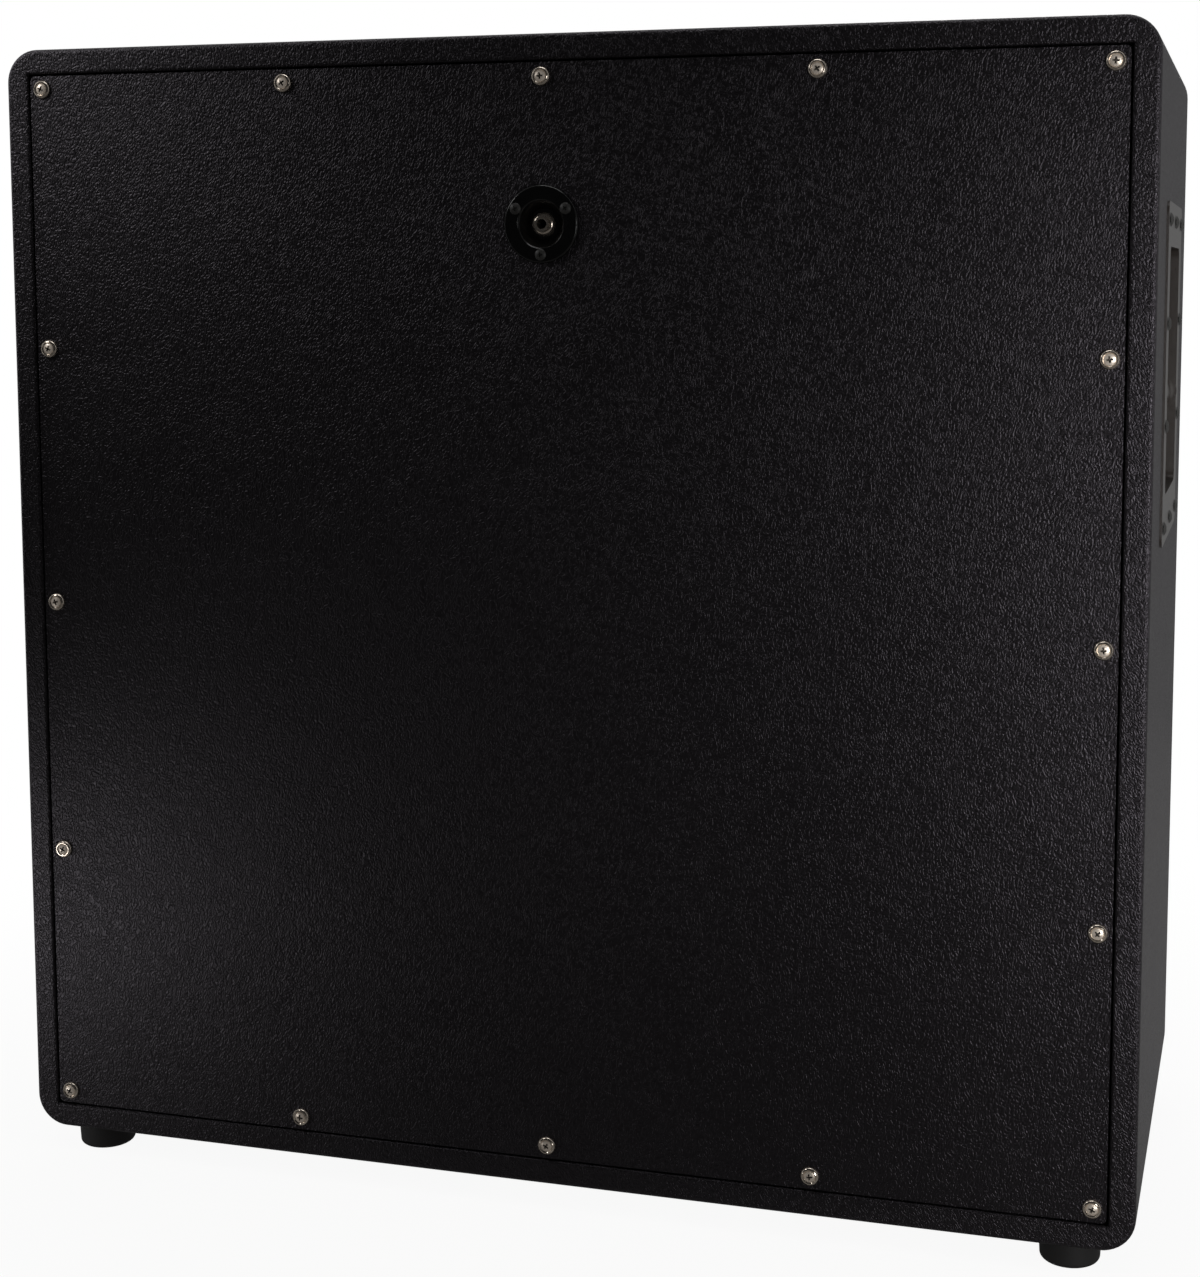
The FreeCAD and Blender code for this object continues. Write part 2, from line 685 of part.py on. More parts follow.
screw_spots = border(back_w - size.screw_inset, back_h - size.screw_inset)
rear_from = board_in - size.cleat_side
pilot = size.screw_shank + size.hole_gap
rear_cleats = drilled(
    "rear_cleats", cleats("rear_cleat", rear_from), screw_spots, pilot,
    rear_from - size.cut_over, size.cleat_side + size.cut_over * 2,
)
baffle_pilot = size.baffle_shank + size.hole_gap
front_cleats = drilled(
    "front_cleats", cleats("front_cleat", baffle_back), screw_spots, baffle_pilot,
    baffle_back - size.cut_over, size.cleat_side + size.cut_over * 2,
)
keep(rear_cleats, front_cleats)

# Back panel: a board in a tray of covering, with the jack's hole and sixteen screw holes.
dish_out = size.dish_mouth + size.dish_wall
dish_hole = dish_out + size.dish_room
dish_spots = []
for angle in (30, 150, 270):
    x_share, z_share = math.cos(math.radians(angle)), math.sin(math.radians(angle))
    x = size.dish_circle * x_share if abs(x_share) > near else 0
    dish_spots.append((x, jack_z + size.dish_circle * z_share))
dish_pilot = size.dish_shank + size.hole_gap
back_holes = [(x, z, pilot) for x, z in screw_spots]
back_holes += [(x, z, dish_pilot) for x, z in dish_spots]
back_holes.append((0, jack_z, dish_hole))
board_w, board_h = back_w - skin, back_h - skin
back_outline = rounded(-board_w, board_w, mid_z - board_h, mid_z + board_h, size.back_round - skin)
back = flat_piece("back_panel", "XZ", board_in, size.back_thick, 1, back_outline, back_holes)
tray_outline = rounded(-back_w, back_w, mid_z - back_h, mid_z + back_h, size.back_round)
tray_thick = back_face - board_in
tray = flat_piece("back_covering", "XZ", board_in, tray_thick, 1, tray_outline, back_holes)
sketch = new_sketch(tray, "XZ", board_in, "back_covering_hollow")
draw(sketch, back_outline)
pocket_deep(tray, sketch, size.back_thick, 1, "XZ", "back_covering_tray")
keep(back, tray)

# Back panel screws with oval heads in cup washers; both stand on the panel's face.
cone_long = size.screw_head - size.screw_shank
head_low = size.cup_tall - cone_long - size.seat_gap
crown = size.screw_crown
crown_radius = (size.screw_head * size.screw_head + crown * crown) / (crown * 2)
back_screw = turned("back_screw", [
    (0, -size.screw_long),
    (size.screw_shank, size.screw_tip - size.screw_long),
    (size.screw_shank, head_low),
    (size.screw_head, head_low + cone_long, crown_radius, 1),
    (0, head_low + cone_long + crown),
])
cup_bore = size.screw_shank + size.seat_gap
cup_mouth = size.screw_head + size.seat_gap
cup_washer = turned("cup_washer", [
    (cup_bore, 0),
    (size.cup_radius, 0),
    (size.cup_radius, size.cup_edge, size.cup_bend, 1),
    (cup_mouth + size.cup_land, size.cup_tall),
    (cup_mouth, size.cup_tall),
    (cup_bore, size.cup_tall - cup_mouth + cup_bore),
])


def set_of(name, source, spots, rotation=None):
    pieces = []
    for k, (x, y, z) in enumerate(spots):
        pieces.append(copy_at("%s_%d" % (name, k + 1), source, x, y, z, rotation))
    return group(name, pieces)


on_face = [(x, back_face, z) for x, z in screw_spots]
keep(set_of("back_panel_screws", back_screw, on_face))
keep(set_of("back_cup_washers", cup_washer, on_face))

# Jack dish: a flange on the panel's face and a shallow bowl through it.
floor_back = -size.dish_deep - size.dish_wall
dish = turned("jack_dish", [
    (size.bushing_radius + size.hole_gap, floor_back),
    (size.dish_floor + size.dish_wall, floor_back),
    (dish_out, 0),
    (size.dish_radius, 0),
    (size.dish_radius, size.dish_edge, size.dish_bend, 1),
    (size.dish_radius - size.dish_bend / 2, size.dish_flange),
    (size.dish_mouth + size.dish_lip, size.dish_flange),
    (size.dish_mouth, size.dish_flange - size.dish_lip),
    (size.dish_floor, -size.dish_deep),
    (size.bushing_radius + size.hole_gap, -size.dish_deep),
])
sketch = new_sketch(dish, "XZ", None, "jack_dish_holes")
for x, z in dish_spots:
    ring(sketch, x, z - jack_z, dish_pilot)
pocket(dish, sketch, "jack_dish_drilled")
bind(dish, "Placement.Base.y", back_face)
bind(dish, "Placement.Base.z", jack_z)
dish_dome = size.dish_head_tall
dish_crown = (size.dish_head * size.dish_head + dish_dome * dish_dome) / (dish_dome * 2)
dish_screw = turned("dish_screw", [
    (0, -size.dish_bite),
    (size.dish_shank, size.screw_tip - size.dish_bite),
    (size.dish_shank, 0),
    (size.dish_head, 0, dish_crown, 1),
    (0, dish_dome),
])
on_dish = [(x, back_face + size.dish_flange, z) for x, z in dish_spots]
keep(dish, set_of("jack_dish_screws", dish_screw, on_dish))

# Jack: a bored bushing with a shoulder behind the dish floor and a frame that carries the contact.
shoulder_back = floor_back - size.shoulder_thick
jack = turned("jack_body", [
    (size.bushing_bore, shoulder_back),
    (size.shoulder_radius, shoulder_back),
    (size.shoulder_radius, floor_back),
    (size.bushing_radius, floor_back),
    (size.bushing_radius, size.bushing_rise - size.dish_deep),
    (size.bushing_bore, size.bushing_rise - size.dish_deep),
])
frame_half = size.frame_wide / 2
frame_in = size.frame_thick - size.frame_drop
shoulder_mid = shoulder_back + size.shoulder_thick / 2
sketch = new_sketch(jack, "XZ", shoulder_mid, "jack_frame_section")
draw(sketch, block(-frame_half, frame_half, -size.frame_drop, frame_in))
pad(jack, sketch, size.frame_long, -1, "XZ", "jack_frame")
bind(jack, "Placement.Base.y", back_face)
bind(jack, "Placement.Base.z", jack_z)
frame_end = shoulder_mid - size.frame_long
stack_top = frame_in + size.stack_thick
stack = box(
    "jack_insulator", -frame_half, back_face + frame_end, jack_z + frame_in,
    size.frame_wide, size.stack_long, size.stack_thick,
)
contact = new_body("jack_contact")
sketch = new_sketch(contact, "YZ", None, "jack_contact_bend")
leaf_from = frame_end - size.contact_tail
leaf_to = frame_end + size.contact_long
leaf_knee = frame_end + size.stack_long
leaf_top = stack_top + size.contact_thick
draw(sketch, [
    (leaf_from, stack_top), (leaf_knee, stack_top), (leaf_to, stack_top + size.contact_hump),
    (leaf_to, leaf_top + size.contact_hump), (leaf_knee, leaf_top), (leaf_from, leaf_top),
])
pad(contact, sketch, size.contact_wide, 0, "YZ", "jack_contact_width")
bind(contact, "Placement.Base.y", back_face)
bind(contact, "Placement.Base.z", jack_z)
nut_from = -size.dish_deep
nut_bore = size.bushing_radius + size.hole_gap
nut = turned("jack_nut", [
    (nut_bore, nut_from),
    (size.nut_radius, nut_from),
    (size.nut_radius, nut_from + size.nut_side, size.nut_bend, 1),
    (nut_bore + size.nut_land, nut_from + size.nut_tall),
    (nut_bore, nut_from + size.nut_tall),
])
bind(nut, "Placement.Base.y", back_face)
bind(nut, "Placement.Base.z", jack_z)
keep(jack, nut, stack, contact)

# Side handle: a flat plate on the covering, a deep dish and a round grip bar with flared roots.
plate_face = half_w + size.handle_plate
handle = new_body("side_handle_right")
sketch = new_sketch(handle, "YZ", half_w, "handle_plate_outline")
draw(sketch, rounded(-plate_w, plate_w, handle_z - plate_h, handle_z + plate_h, size.handle_round))
for depth, height in handle_spots:
    ring(sketch, depth, height, size.handle_shank + size.hole_gap)
pad(handle, sketch, size.handle_plate, 1, "YZ", "handle_plate_thickness")
sketch = new_sketch(handle, "YZ", half_w, "handle_dish_outline")
shell_round = size.grip_round + size.handle_wall
draw(sketch, rounded(-dish_w, dish_w, grip_z - dish_h, grip_z + dish_h, shell_round))
pad(handle, sketch, size.handle_deep, -1, "YZ", "handle_dish_depth")
dish_end = half_w - size.handle_deep

sketch = new_sketch(handle, "YZ", plate_face, "handle_grip_outline")
draw(sketch, rounded(-grip_w, grip_w, grip_z - grip_h, grip_z + grip_h, size.grip_round))
grip_deep = size.handle_plate + size.handle_deep - size.handle_wall
pocket_deep(handle, sketch, grip_deep, -1, "YZ", "handle_grip_opening")
grip_end = dish_end + size.handle_wall


def floor_edge(floor):
    """Picks the edges that lie in the plane of a floor across X."""
    def wanted(edge):
        limits = edge.BoundBox
        return limits.XLength < near and abs(limits.XMin - floor.number) < near
    return wanted


round_edges(handle, "handle_dish_inside", size.dish_round, floor_edge(grip_end))
round_edges(handle, "handle_dish_outside", size.dish_round + size.handle_wall, floor_edge(dish_end))
bar_x = plate_face - size.bar_sink - size.bar_radius
bar_z = handle_z - size.bar_drop
bar_half = grip_w + size.handle_wall / 2
flare_at = bar_half - size.bar_flare_long
sketch = handle.newObject("Sketcher::SketchObject", "handle_bar_profile")
sketch.AttachmentSupport = (origin_part(handle, "XY_Plane"), [""])
sketch.MapMode = "FlatFace"
bind(sketch, "AttachmentOffset.Base.x", bar_x)
bind(sketch, "AttachmentOffset.Base.z", bar_z)
draw(sketch, [
    (0, -bar_half),
    (size.bar_flare, -bar_half, size.bar_flare_bend, -1),
    (size.bar_radius, -flare_at),
    (size.bar_radius, flare_at, size.bar_flare_bend, -1),
    (size.bar_flare, bar_half),
    (0, bar_half),
])
feature = handle.newObject("PartDesign::Revolution", "handle_bar")
feature.Profile = sketch
feature.ReferenceAxis = (sketch, ["V_Axis"])
feature.Angle = 360
handle_left = doc.addObject("Part::Mirroring", "side_handle_left")
handle_left.Label = "side_handle_left"
handle_left.Source = handle
handle_left.Normal = FreeCAD.Vector(1, 0, 0)
dome = size.dome_tall
dome_bend = (size.dome_radius * size.dome_radius + dome * dome) / (dome * 2)
handle_screw = turned("handle_screw", [
    (0, -size.handle_bite),
    (size.handle_shank, size.screw_tip - size.handle_bite),
    (size.handle_shank, 0),
    (size.dome_radius, 0, dome_bend, 1),
    (0, dome),
])
pieces = []
for k, (y, z) in enumerate(handle_spots):
    pieces.append(copy_at("handle_screw_right_%d" % (k + 1), handle_screw, plate_face, y, z, turn_right))
    pieces.append(copy_at("handle_screw_left_%d" % (k + 1), handle_screw, -plate_face, y, z, turn_left))
keep(handle, handle_left, group("handle_screws", pieces))

# Feet: tapered rubber with a screw well; the floor is at height zero.
foot_bottom = size.foot_sole - size.foot_round
well_top = size.foot_height - size.foot_web
foot = turned("rubber_foot", [
    (size.foot_well, 0),
    (foot_bottom, 0, size.foot_round, 1),
    (size.foot_sole, size.foot_round),
    (size.foot_radius, size.foot_height),
    (foot_hole, size.foot_height),
    (foot_hole, well_top),
    (size.foot_well, well_top),
])
foot_screw = turned("foot_screw", [
    (0, -size.foot_head_tall),
    (size.foot_head, -size.foot_head_tall),
    (size.foot_head, 0),
    (size.foot_shank, 0),
    (size.foot_shank, size.foot_web + skin + size.foot_bite - size.screw_tip),
    (0, size.foot_web + skin + size.foot_bite),
])
foot_names = ("foot_front_left", "foot_rear_left", "foot_front_right", "foot_rear_right")
for name, (x, y) in zip(foot_names, foot_spots):
    keep(copy_at(name, foot, x, y, 0, turn_up))
keep(set_of("foot_screws", foot_screw, [(x, y, well_top) for x, y in foot_spots], turn_up))

# Each driver stands in the middle of its quarter, between the cleats and the gap to its neighbours.
driver_x = (in_w - size.cleat_side - size.driver_side_gap + size.driver_mid_gap) / 2
driver_z = (in_h - size.cleat_side - size.driver_end_gap + size.driver_mid_gap) / 2
flange_radius = least(driver_x, driver_z) - size.driver_mid_gap
basket_mouth = flange_radius - size.mouth_inset
gasket_inner = flange_radius - size.gasket_wide
surround_outer = gasket_inner - size.surround_gap
surround_free = surround_outer - size.surround_lip
cone_rim = surround_free - size.pleats_wide
cone_land = cone_rim - size.land_wide

# Baffle board with four round cut-outs, bolt holes and screw holes.
driver_spots = []
for up_share in (1, -1):
    for across_share in (-1, 1):
        driver_spots.append((driver_x * across_share, mid_z + driver_z * up_share))
driver_names = ("upper_left", "upper_right", "lower_left", "lower_right")
bolt_share = math.sqrt(0.5)
bolt_step = (flange_radius - size.bolt_inset) * bolt_share
bolt_corners = [(bolt_step * a, bolt_step * b) for a in (-1, 1) for b in (-1, 1)]
bolt_spots = [(x + a, z + b) for x, z in driver_spots for a, b in bolt_corners]
barrel_hole = size.tee_barrel + size.hole_gap
baffle_w, baffle_h = in_w - size.baffle_gap, in_h - size.baffle_gap
baffle_holes = [(x, z, flange_radius - size.hole_inset) for x, z in driver_spots]
baffle_holes += [(x, z, barrel_hole) for x, z in bolt_spots]
baffle_holes += [(x, z, baffle_pilot) for x, z in screw_spots]
baffle = flat_piece(
    "baffle_board", "XZ", baffle_front, size.baffle_thick, 1,
    block(-baffle_w, baffle_w, mid_z - baffle_h, mid_z + baffle_h), baffle_holes,
)
baffle_screw = turned("baffle_screw", [
    (0, -size.baffle_head_tall),
    (size.baffle_head, -size.baffle_head_tall),
    (size.baffle_head, 0),
    (size.baffle_shank, 0),
    (size.baffle_shank, size.baffle_bite - size.screw_tip),
    (0, size.baffle_bite),
])
keep(baffle, set_of("baffle_screws", baffle_screw, [(x, baffle_front, z) for x, z in screw_spots]))

# Centre post between the baffle and the back panel.
post_half = size.post_side / 2
post_in = post_half - size.post_bevel
post_outline = []
for a, b in ((-post_in, -post_half), (post_in, -post_half), (post_half, -post_in), (post_half, post_in)):
    post_outline.append((a, mid_z + b))
for a, b in ((post_in, post_half), (-post_in, post_half), (-post_half, post_in), (-post_half, -post_in)):
    post_outline.append((a, mid_z + b))
post = flat_piece("centre_post", "XZ", baffle_back, board_in - baffle_back, 1, post_outline, [])
keep(post)

# Grille: a frame with middle bars, cloth stretched over it and turned in behind, and hook pads.
cloth_w, cloth_h = open_w - size.grille_gap, open_h - size.grille_gap
frame_w, frame_h = cloth_w - size.cloth_thick, cloth_h - size.cloth_thick
rail, half_bar = size.grille_rail, size.grille_bar / 2
frame = flat_piece(
    "grille_frame", "XZ", frame_front, size.grille_thick, 1,
    block(-frame_w, frame_w, mid_z - frame_h, mid_z + frame_h), [],
)
sketch = new_sketch(frame, "XZ", frame_front, "grille_windows")
for left, right in ((rail - frame_w, -half_bar), (half_bar, frame_w - rail)):
    for low, high in ((rail - frame_h, -half_bar), (half_bar, frame_h - rail)):
        draw(sketch, block(left, right, mid_z + low, mid_z + high))
pocket(frame, sketch, "grille_openings")
cloth_block = box(
    "cloth_block", -cloth_w, cloth_face, mid_z - cloth_h, cloth_w * 2, turn_back - cloth_face, cloth_h * 2,
)
frame_block = box(
    "frame_block", -frame_w, frame_front, mid_z - frame_h, frame_w * 2, size.grille_thick, frame_h * 2,
)
turn_w, turn_h = frame_w - size.cloth_turn, frame_h - size.cloth_turn
turn_block = box(
    "turn_block", -turn_w, frame_front, mid_z - turn_h, turn_w * 2,
    size.grille_thick + size.cut_over, turn_h * 2,
)
cloth_wrap = boolean("Cut", "cloth_without_frame", cloth_block, frame_block)
cloth = boolean("Cut", "grille_cloth", cloth_wrap, turn_block)
pads = []
half_long, half_wide = size.pad_long / 2, size.pad_wide / 2
pad_x, pad_z = frame_w - rail / 2, frame_h - rail / 2
for a in (-1, 1):
    for b in (-1, 1):
        x, z = pad_x * a, mid_z + size.pad_place * b
        name = "hook_pad_%d" % (len(pads) + 1)
        pads.append(box(
            name, x - half_wide, turn_back, z - half_long, size.pad_wide, size.pad_thick, size.pad_long,
        ))
        x, z = size.pad_place * a, mid_z + pad_z * b
        name = "hook_pad_%d" % (len(pads) + 1)
        pads.append(box(
            name, x - half_long, turn_back, z - half_wide, size.pad_long, size.pad_thick, size.pad_wide,
        ))
keep(frame, cloth, group("grille_hook_pads", pads))

# Driver, turned about its own axis: the flange's face is at zero and the magnet behind it.
steel = size.steel_thick
basket = turned("basket", [
    (basket_mouth, 0),
    (flange_radius, 0),
    (flange_radius, steel),
    (basket_mouth + steel, steel),
    (basket_mouth + steel, size.basket_collar + steel / 2),
    (size.shelf_radius + steel / 2, size.shelf_deep + steel),
    (size.shelf_inner + steel, size.shelf_deep + steel),
    (size.shelf_inner + steel, size.seat_deep + steel),
    (size.seat_hole, size.seat_deep + steel),
    (size.seat_hole, size.seat_deep),
    (size.shelf_inner, size.seat_deep),
    (size.shelf_inner, size.shelf_deep),
    (size.shelf_radius, size.shelf_deep),
    (basket_mouth, size.basket_collar),
])
sketch = new_sketch(basket, "XZ", None, "basket_window_outline")
low_angle, high_angle = math.radians(7.5), math.radians(37.5)


def polar(radius, angle):
    return (radius * math.cos(angle), radius * math.sin(angle))


window_in, window_out = size.window_inner, flange_radius - size.window_inset
draw(sketch, [
    polar(window_in, low_angle),
    polar(window_out, low_angle) + (window_out, 1),
    polar(window_out, high_angle),
    polar(window_in, high_angle) + (window_in, -1),
])
window = pocket(basket, sketch, "basket_window")
windows = basket.newObject("PartDesign::PolarPattern", "basket_windows")
windows.Originals = [window]
windows.Axis = (origin_part(basket, "Y_Axis"), [""])
windows.Angle = 360
windows.Occurrences = 8
basket.Tip = windows
bolt_hole = size.bolt_radius + size.bolt_room
sketch = new_sketch(basket, "XZ", None, "basket_bolt_holes")
for a, b in bolt_corners:
    ring(sketch, a, b, bolt_hole)
pocket(basket, sketch, "basket_drilled")

gasket = new_body("gasket")
sketch = new_sketch(gasket, "XZ", None, "gasket_outline")
ring(sketch, 0, 0, flange_radius)
ring(sketch, 0, 0, gasket_inner)
for a, b in bolt_corners:
    ring(sketch, a, b, bolt_hole)
pad(gasket, sketch, size.gasket_thick, -1, "XZ", "gasket_thickness")

top_plate_front = size.seat_deep + steel
magnet_front = top_plate_front + size.plate_thick
magnet_rear = magnet_front + size.magnet_thick
yoke_rear = magnet_rear + size.yoke_thick
bevel = size.magnet_bevel
top_plate = turned("top_plate", block(size.plate_bore, size.plate_radius, top_plate_front, magnet_front))
magnet = turned("magnet", [
    (size.magnet_bore, magnet_front),
    (size.magnet_radius - bevel, magnet_front),
    (size.magnet_radius, magnet_front + bevel),
    (size.magnet_radius, magnet_rear - bevel),
    (size.magnet_radius - bevel, magnet_rear),
    (size.magnet_bore, magnet_rear),
])
yoke = turned("yoke", [
    (0, top_plate_front),
    (size.pole_radius, top_plate_front),
    (size.pole_radius, magnet_rear),
    (size.plate_radius, magnet_rear),
    (size.plate_radius, yoke_rear - bevel),
    (size.plate_radius - bevel, yoke_rear),
    (0, yoke_rear),
])

# Cone with a flat rim, the dust cap on it, and the voice coil in the magnet's gap.
thin = size.cone_thick
cone = turned("cone", [
    (cone_rim, 0),
    (cone_rim, thin),
    (cone_land, thin),
    (size.cone_neck, size.cone_deep + thin),
    (size.cone_neck, size.cone_deep),
    (cone_land, 0),
])
cone_share = (cone_land - size.cap_radius) / (cone_land - size.cone_neck)
cap_rim = size.cone_deep * cone_share - size.cap_gap - size.cap_thick
cap_bend = (size.cap_radius * size.cap_radius + size.cap_rise * size.cap_rise) / (size.cap_rise * 2)
cap = turned("dust_cap", [
    (0, cap_rim - size.cap_rise, cap_bend, 1),
    (size.cap_radius, cap_rim),
    (size.cap_radius, cap_rim + size.cap_thick, cap_bend, -1),
    (0, cap_rim - size.cap_rise + size.cap_thick),
])
coil_mid = top_plate_front + size.plate_thick / 2
coil_front, coil_rear = coil_mid - size.coil_long / 2, coil_mid + size.coil_long / 2
coil = turned("voice_coil", [
    (size.former_inner, size.former_front),
    (size.former_outer, size.former_front),
    (size.former_outer, coil_front),
    (size.coil_radius, coil_front),
    (size.coil_radius, coil_rear),
    (size.former_inner, coil_rear),
])


def waves(inner, first, last, outer, y_from, thick, bend, count):
    """A thin corrugated ring: flat lips and half waves between them, turned about Y."""
    step = (last - first) / count
    front, rear = [], []
    for k in range(count + 1):
        turn = 1 if k % 2 else -1
        radius = first + step * k
        front.append((radius, y_from, bend, turn) if k < count else (radius, y_from))
        back_turn = -1 if (k - 1) % 2 else 1
        rear.append((radius, y_from + thick, bend, back_turn) if k else (radius, y_from + thick))
    rear.reverse()
    low = [(inner, y_from)] + front + [(outer, y_from)]
    high = [(outer, y_from + thick)] + rear + [(inner, y_from + thick)]
    return low + high


surround = turned("surround", waves(
    cone_land, cone_rim, surround_free, surround_outer,
    -size.surround_thick, size.surround_thick, size.pleat_bend, 3,
))
spider = turned("spider", waves(
    size.former_outer + size.cap_gap, size.spider_collar, size.spider_free, size.spider_outer,
    size.shelf_deep - size.spider_thick, size.spider_thick, size.spider_bend, 6,
))

# The drivers' fixed pieces are groups of four; the moving ones are separate.
at_driver = [(x, driver_y, z) for x, z in driver_spots]
for name, source in (
    ("speaker_baskets", basket),
    ("speaker_gaskets", gasket),
    ("speaker_top_plates", top_plate),
    ("speaker_magnets", magnet),
    ("speaker_yokes", yoke),
):
    keep(set_of(name, source, at_driver))
for name, (x, y, z) in zip(driver_names, at_driver):
    keep(copy_at("cone_" + name, cone, x, y, z))
    keep(copy_at("dust_cap_" + name, cap, x, y, z))
    keep(copy_at("voice_coil_" + name, coil, x, y, z))
    keep(copy_at("surround_" + name, surround, x, y, z))
    keep(copy_at("spider_" + name, spider, x, y, z))

# Bolts from behind through flange and gasket into T-nuts in the baffle's front.
bolt = turned("driver_bolt", [
    (0, size.bolt_head_tall),
    (0, size.bolt_short - size.baffle_thick - size.gasket_thick - steel),
    (size.bolt_radius, size.bolt_short - size.baffle_thick - size.gasket_thick - steel),
    (size.bolt_radius, 0),
    (size.bolt_head, 0),
    (size.bolt_head, size.bolt_head_tall),
])
tee = turned("tee_nut", [
    (size.bolt_radius + size.hole_gap, -size.tee_thick),
    (size.tee_radius, -size.tee_thick),
    (size.tee_radius, 0),
    (size.tee_barrel, 0),
    (size.tee_barrel, size.tee_long),
    (size.bolt_radius + size.hole_gap, size.tee_long),
])
keep(set_of("speaker_bolts", bolt, [(x, driver_y + steel, z) for x, z in bolt_spots]))
keep(set_of("speaker_tee_nuts", tee, [(x, baffle_front, z) for x, z in bolt_spots]))


def solid_piece(name, shapes):
    """A piece whose outline the sheet's numbers give directly."""
    item = doc.addObject("Part::Feature", name)
    item.Label = name
    item.Shape = Part.makeCompound(shapes)
    return item


def number(what):
    return length(what).number


# Terminal boards lie on a spoke of each basket, on the side towards the cabinet's middle line.
spoke_top = FreeCAD.Vector(
    number(basket_mouth + steel), number(size.basket_collar + steel / 2), 0)
spoke_end = FreeCAD.Vector(
    number(size.shelf_radius + steel / 2), number(size.shelf_deep + steel), 0)
slope = (spoke_top - spoke_end).normalize()
outward = FreeCAD.Vector(-slope.y, slope.x, 0)
upright = FreeCAD.Vector(0, 0, 1)
on_spoke = FreeCAD.Placement(
    FreeCAD.Matrix(
        slope.x, outward.x, 0, (spoke_top.x + spoke_end.x) / 2 + outward.x * number(size.glue_gap),
        slope.y, outward.y, 0, (spoke_top.y + spoke_end.y) / 2 + outward.y * number(size.glue_gap),
        0, 0, 1, 0,
        0, 0, 0, 1,
    )
)


def centred_block(long, thick, wide, along, out, across):
    """A block on the spoke: its middle along and across, its foot at the distance out."""
    corner = FreeCAD.Vector(along - long / 2, out, across - wide / 2)
    shape = Part.makeBox(long, thick, wide, corner)
    shape.Placement = on_spoke
    return shape


board_long, board_wide = number(size.board_long), number(size.board_wide)
board_thick, lug_half = number(size.board_thick), number(size.lug_space) / 2
terminal_shapes, lug_shapes, lug_tips = [], [], []
for x, y, z in at_driver:
    here = FreeCAD.Vector(number(x), number(y), number(z))
    side = FreeCAD.Rotation(FreeCAD.Vector(0, 1, 0), 0 if here.x < 0 else 180)
    where = FreeCAD.Placement(here, side)
    local = [centred_block(board_long, board_thick, board_wide, 0, 0, 0)]
    for across in (-lug_half, lug_half):
        lug = centred_block(
            number(size.lug_thick), number(size.lug_tall), number(size.lug_wide), 0, board_thick, across)
        local.append(lug)
    for shape in local:
        terminal_shapes.append(shape.transformed(where.toMatrix(), True))
    tips = []
    for across in (-lug_half, lug_half):
        tip = FreeCAD.Vector(0, board_thick + number(size.lug_tall), across)
        tips.append(where.multVec(on_spoke.multVec(tip)))
    tips.sort(key=lambda point: point.z)
    lug_tips.append(tips)
keep(solid_piece("speaker_terminals", terminal_shapes))

# Wires: straight runs joined by round bends, from lug to lug and from the jack to the upper drivers.
wire_r, wire_bend = number(size.wire_radius), number(size.wire_bend)
wire_lift, wire_step = number(size.wire_lift), number(size.wire_step)


def wire(points):
    """A round wire through the points, with a bend of one radius at each inner point."""
    edges = []
    at = points[0]
    for k in range(1, len(points) - 1):
        here = points[k]
        before = (points[k - 1] - here).normalize()
        after = (points[k + 1] - here).normalize()
        half_turn = before.getAngle(after) / 2
        reach = wire_bend / math.tan(half_turn)
        start, end = here + before * reach, here + after * reach
        towards = (before + after).normalize()
        middle = here + towards * (wire_bend / math.sin(half_turn) - wire_bend)
        edges.append(Part.LineSegment(at, start).toShape())
        edges.append(Part.Arc(start, middle, end).toShape())
        at = end
    edges.append(Part.LineSegment(at, points[-1]).toShape())
    path = Part.Wire(edges)
    first = (points[1] - points[0]).normalize()
    section = Part.Wire([Part.makeCircle(wire_r, points[0], first)])
    return path.makePipeShell([section], True, True)


behind = FreeCAD.Vector(0, 1, 0)


def lead(a, b, level):
    """A wire between two lug tips that stands off behind them by the level."""
    lift = wire_lift + wire_step * level
    rest = max(a.y, b.y) + lift
    gap = number(size.glue_gap)
    start, end = a + behind * gap, b + behind * gap
    return wire([start, FreeCAD.Vector(a.x, rest, a.z), FreeCAD.Vector(b.x, rest, b.z), end])


upper_left, upper_right, lower_left, lower_right = lug_tips
wires = [
    lead(upper_left[0], lower_left[1], 0),
    lead(upper_right[0], lower_right[1], 0),
    lead(lower_left[0], lower_right[0], 0),
]
tail_y = number(back_face + leaf_from)
jack_low = number(jack_z - size.frame_drop)
for tip, drop_share, side_share in ((upper_left[1], -1, -1), (upper_right[1], 1, 1)):
    if drop_share < 0:
        start_z = number(jack_z + stack_top - size.glue_gap) - wire_r
        start_y = tail_y + wire_r
    else:
        start_z = jack_low - number(size.glue_gap) - wire_r
        start_y = number(back_face + frame_end) + wire_r
    start = FreeCAD.Vector(0, start_y, start_z)
    rest_y = tip.y + wire_lift * 2
    wires.append(wire([
        start,
        FreeCAD.Vector(0, rest_y + (start_y - rest_y) / 2, start_z),
        FreeCAD.Vector(tip.x, rest_y, tip.z),
        tip + behind * number(size.glue_gap),
    ]))
keep(solid_piece("speaker_wires", wires))

doc.recompute()

failed = [item.Label for item in doc.Objects if {"Invalid", "Error"} & set(item.State)]
if failed:
    raise RuntimeError("failed: %s" % ", ".join(failed))
shapes = {}
for piece in nodes:
    shape = Part.getShape(piece)
    if shape.isNull() or not shape.isValid() or not shape.Solids:
        raise RuntimeError("bad shape: %s" % piece.Label)
    shapes[piece.Label] = shape
if len(shapes) != len(nodes):
    raise RuntimeError("two pieces share a name")

os.makedirs("parts", exist_ok=True)
for label, shape in shapes.items():
    shape.exportStep("parts/%s.step" % label)
    print("%s: %d solids, %.1f cm3" % (label, len(shape.Solids), shape.Volume / 1000))
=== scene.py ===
import math

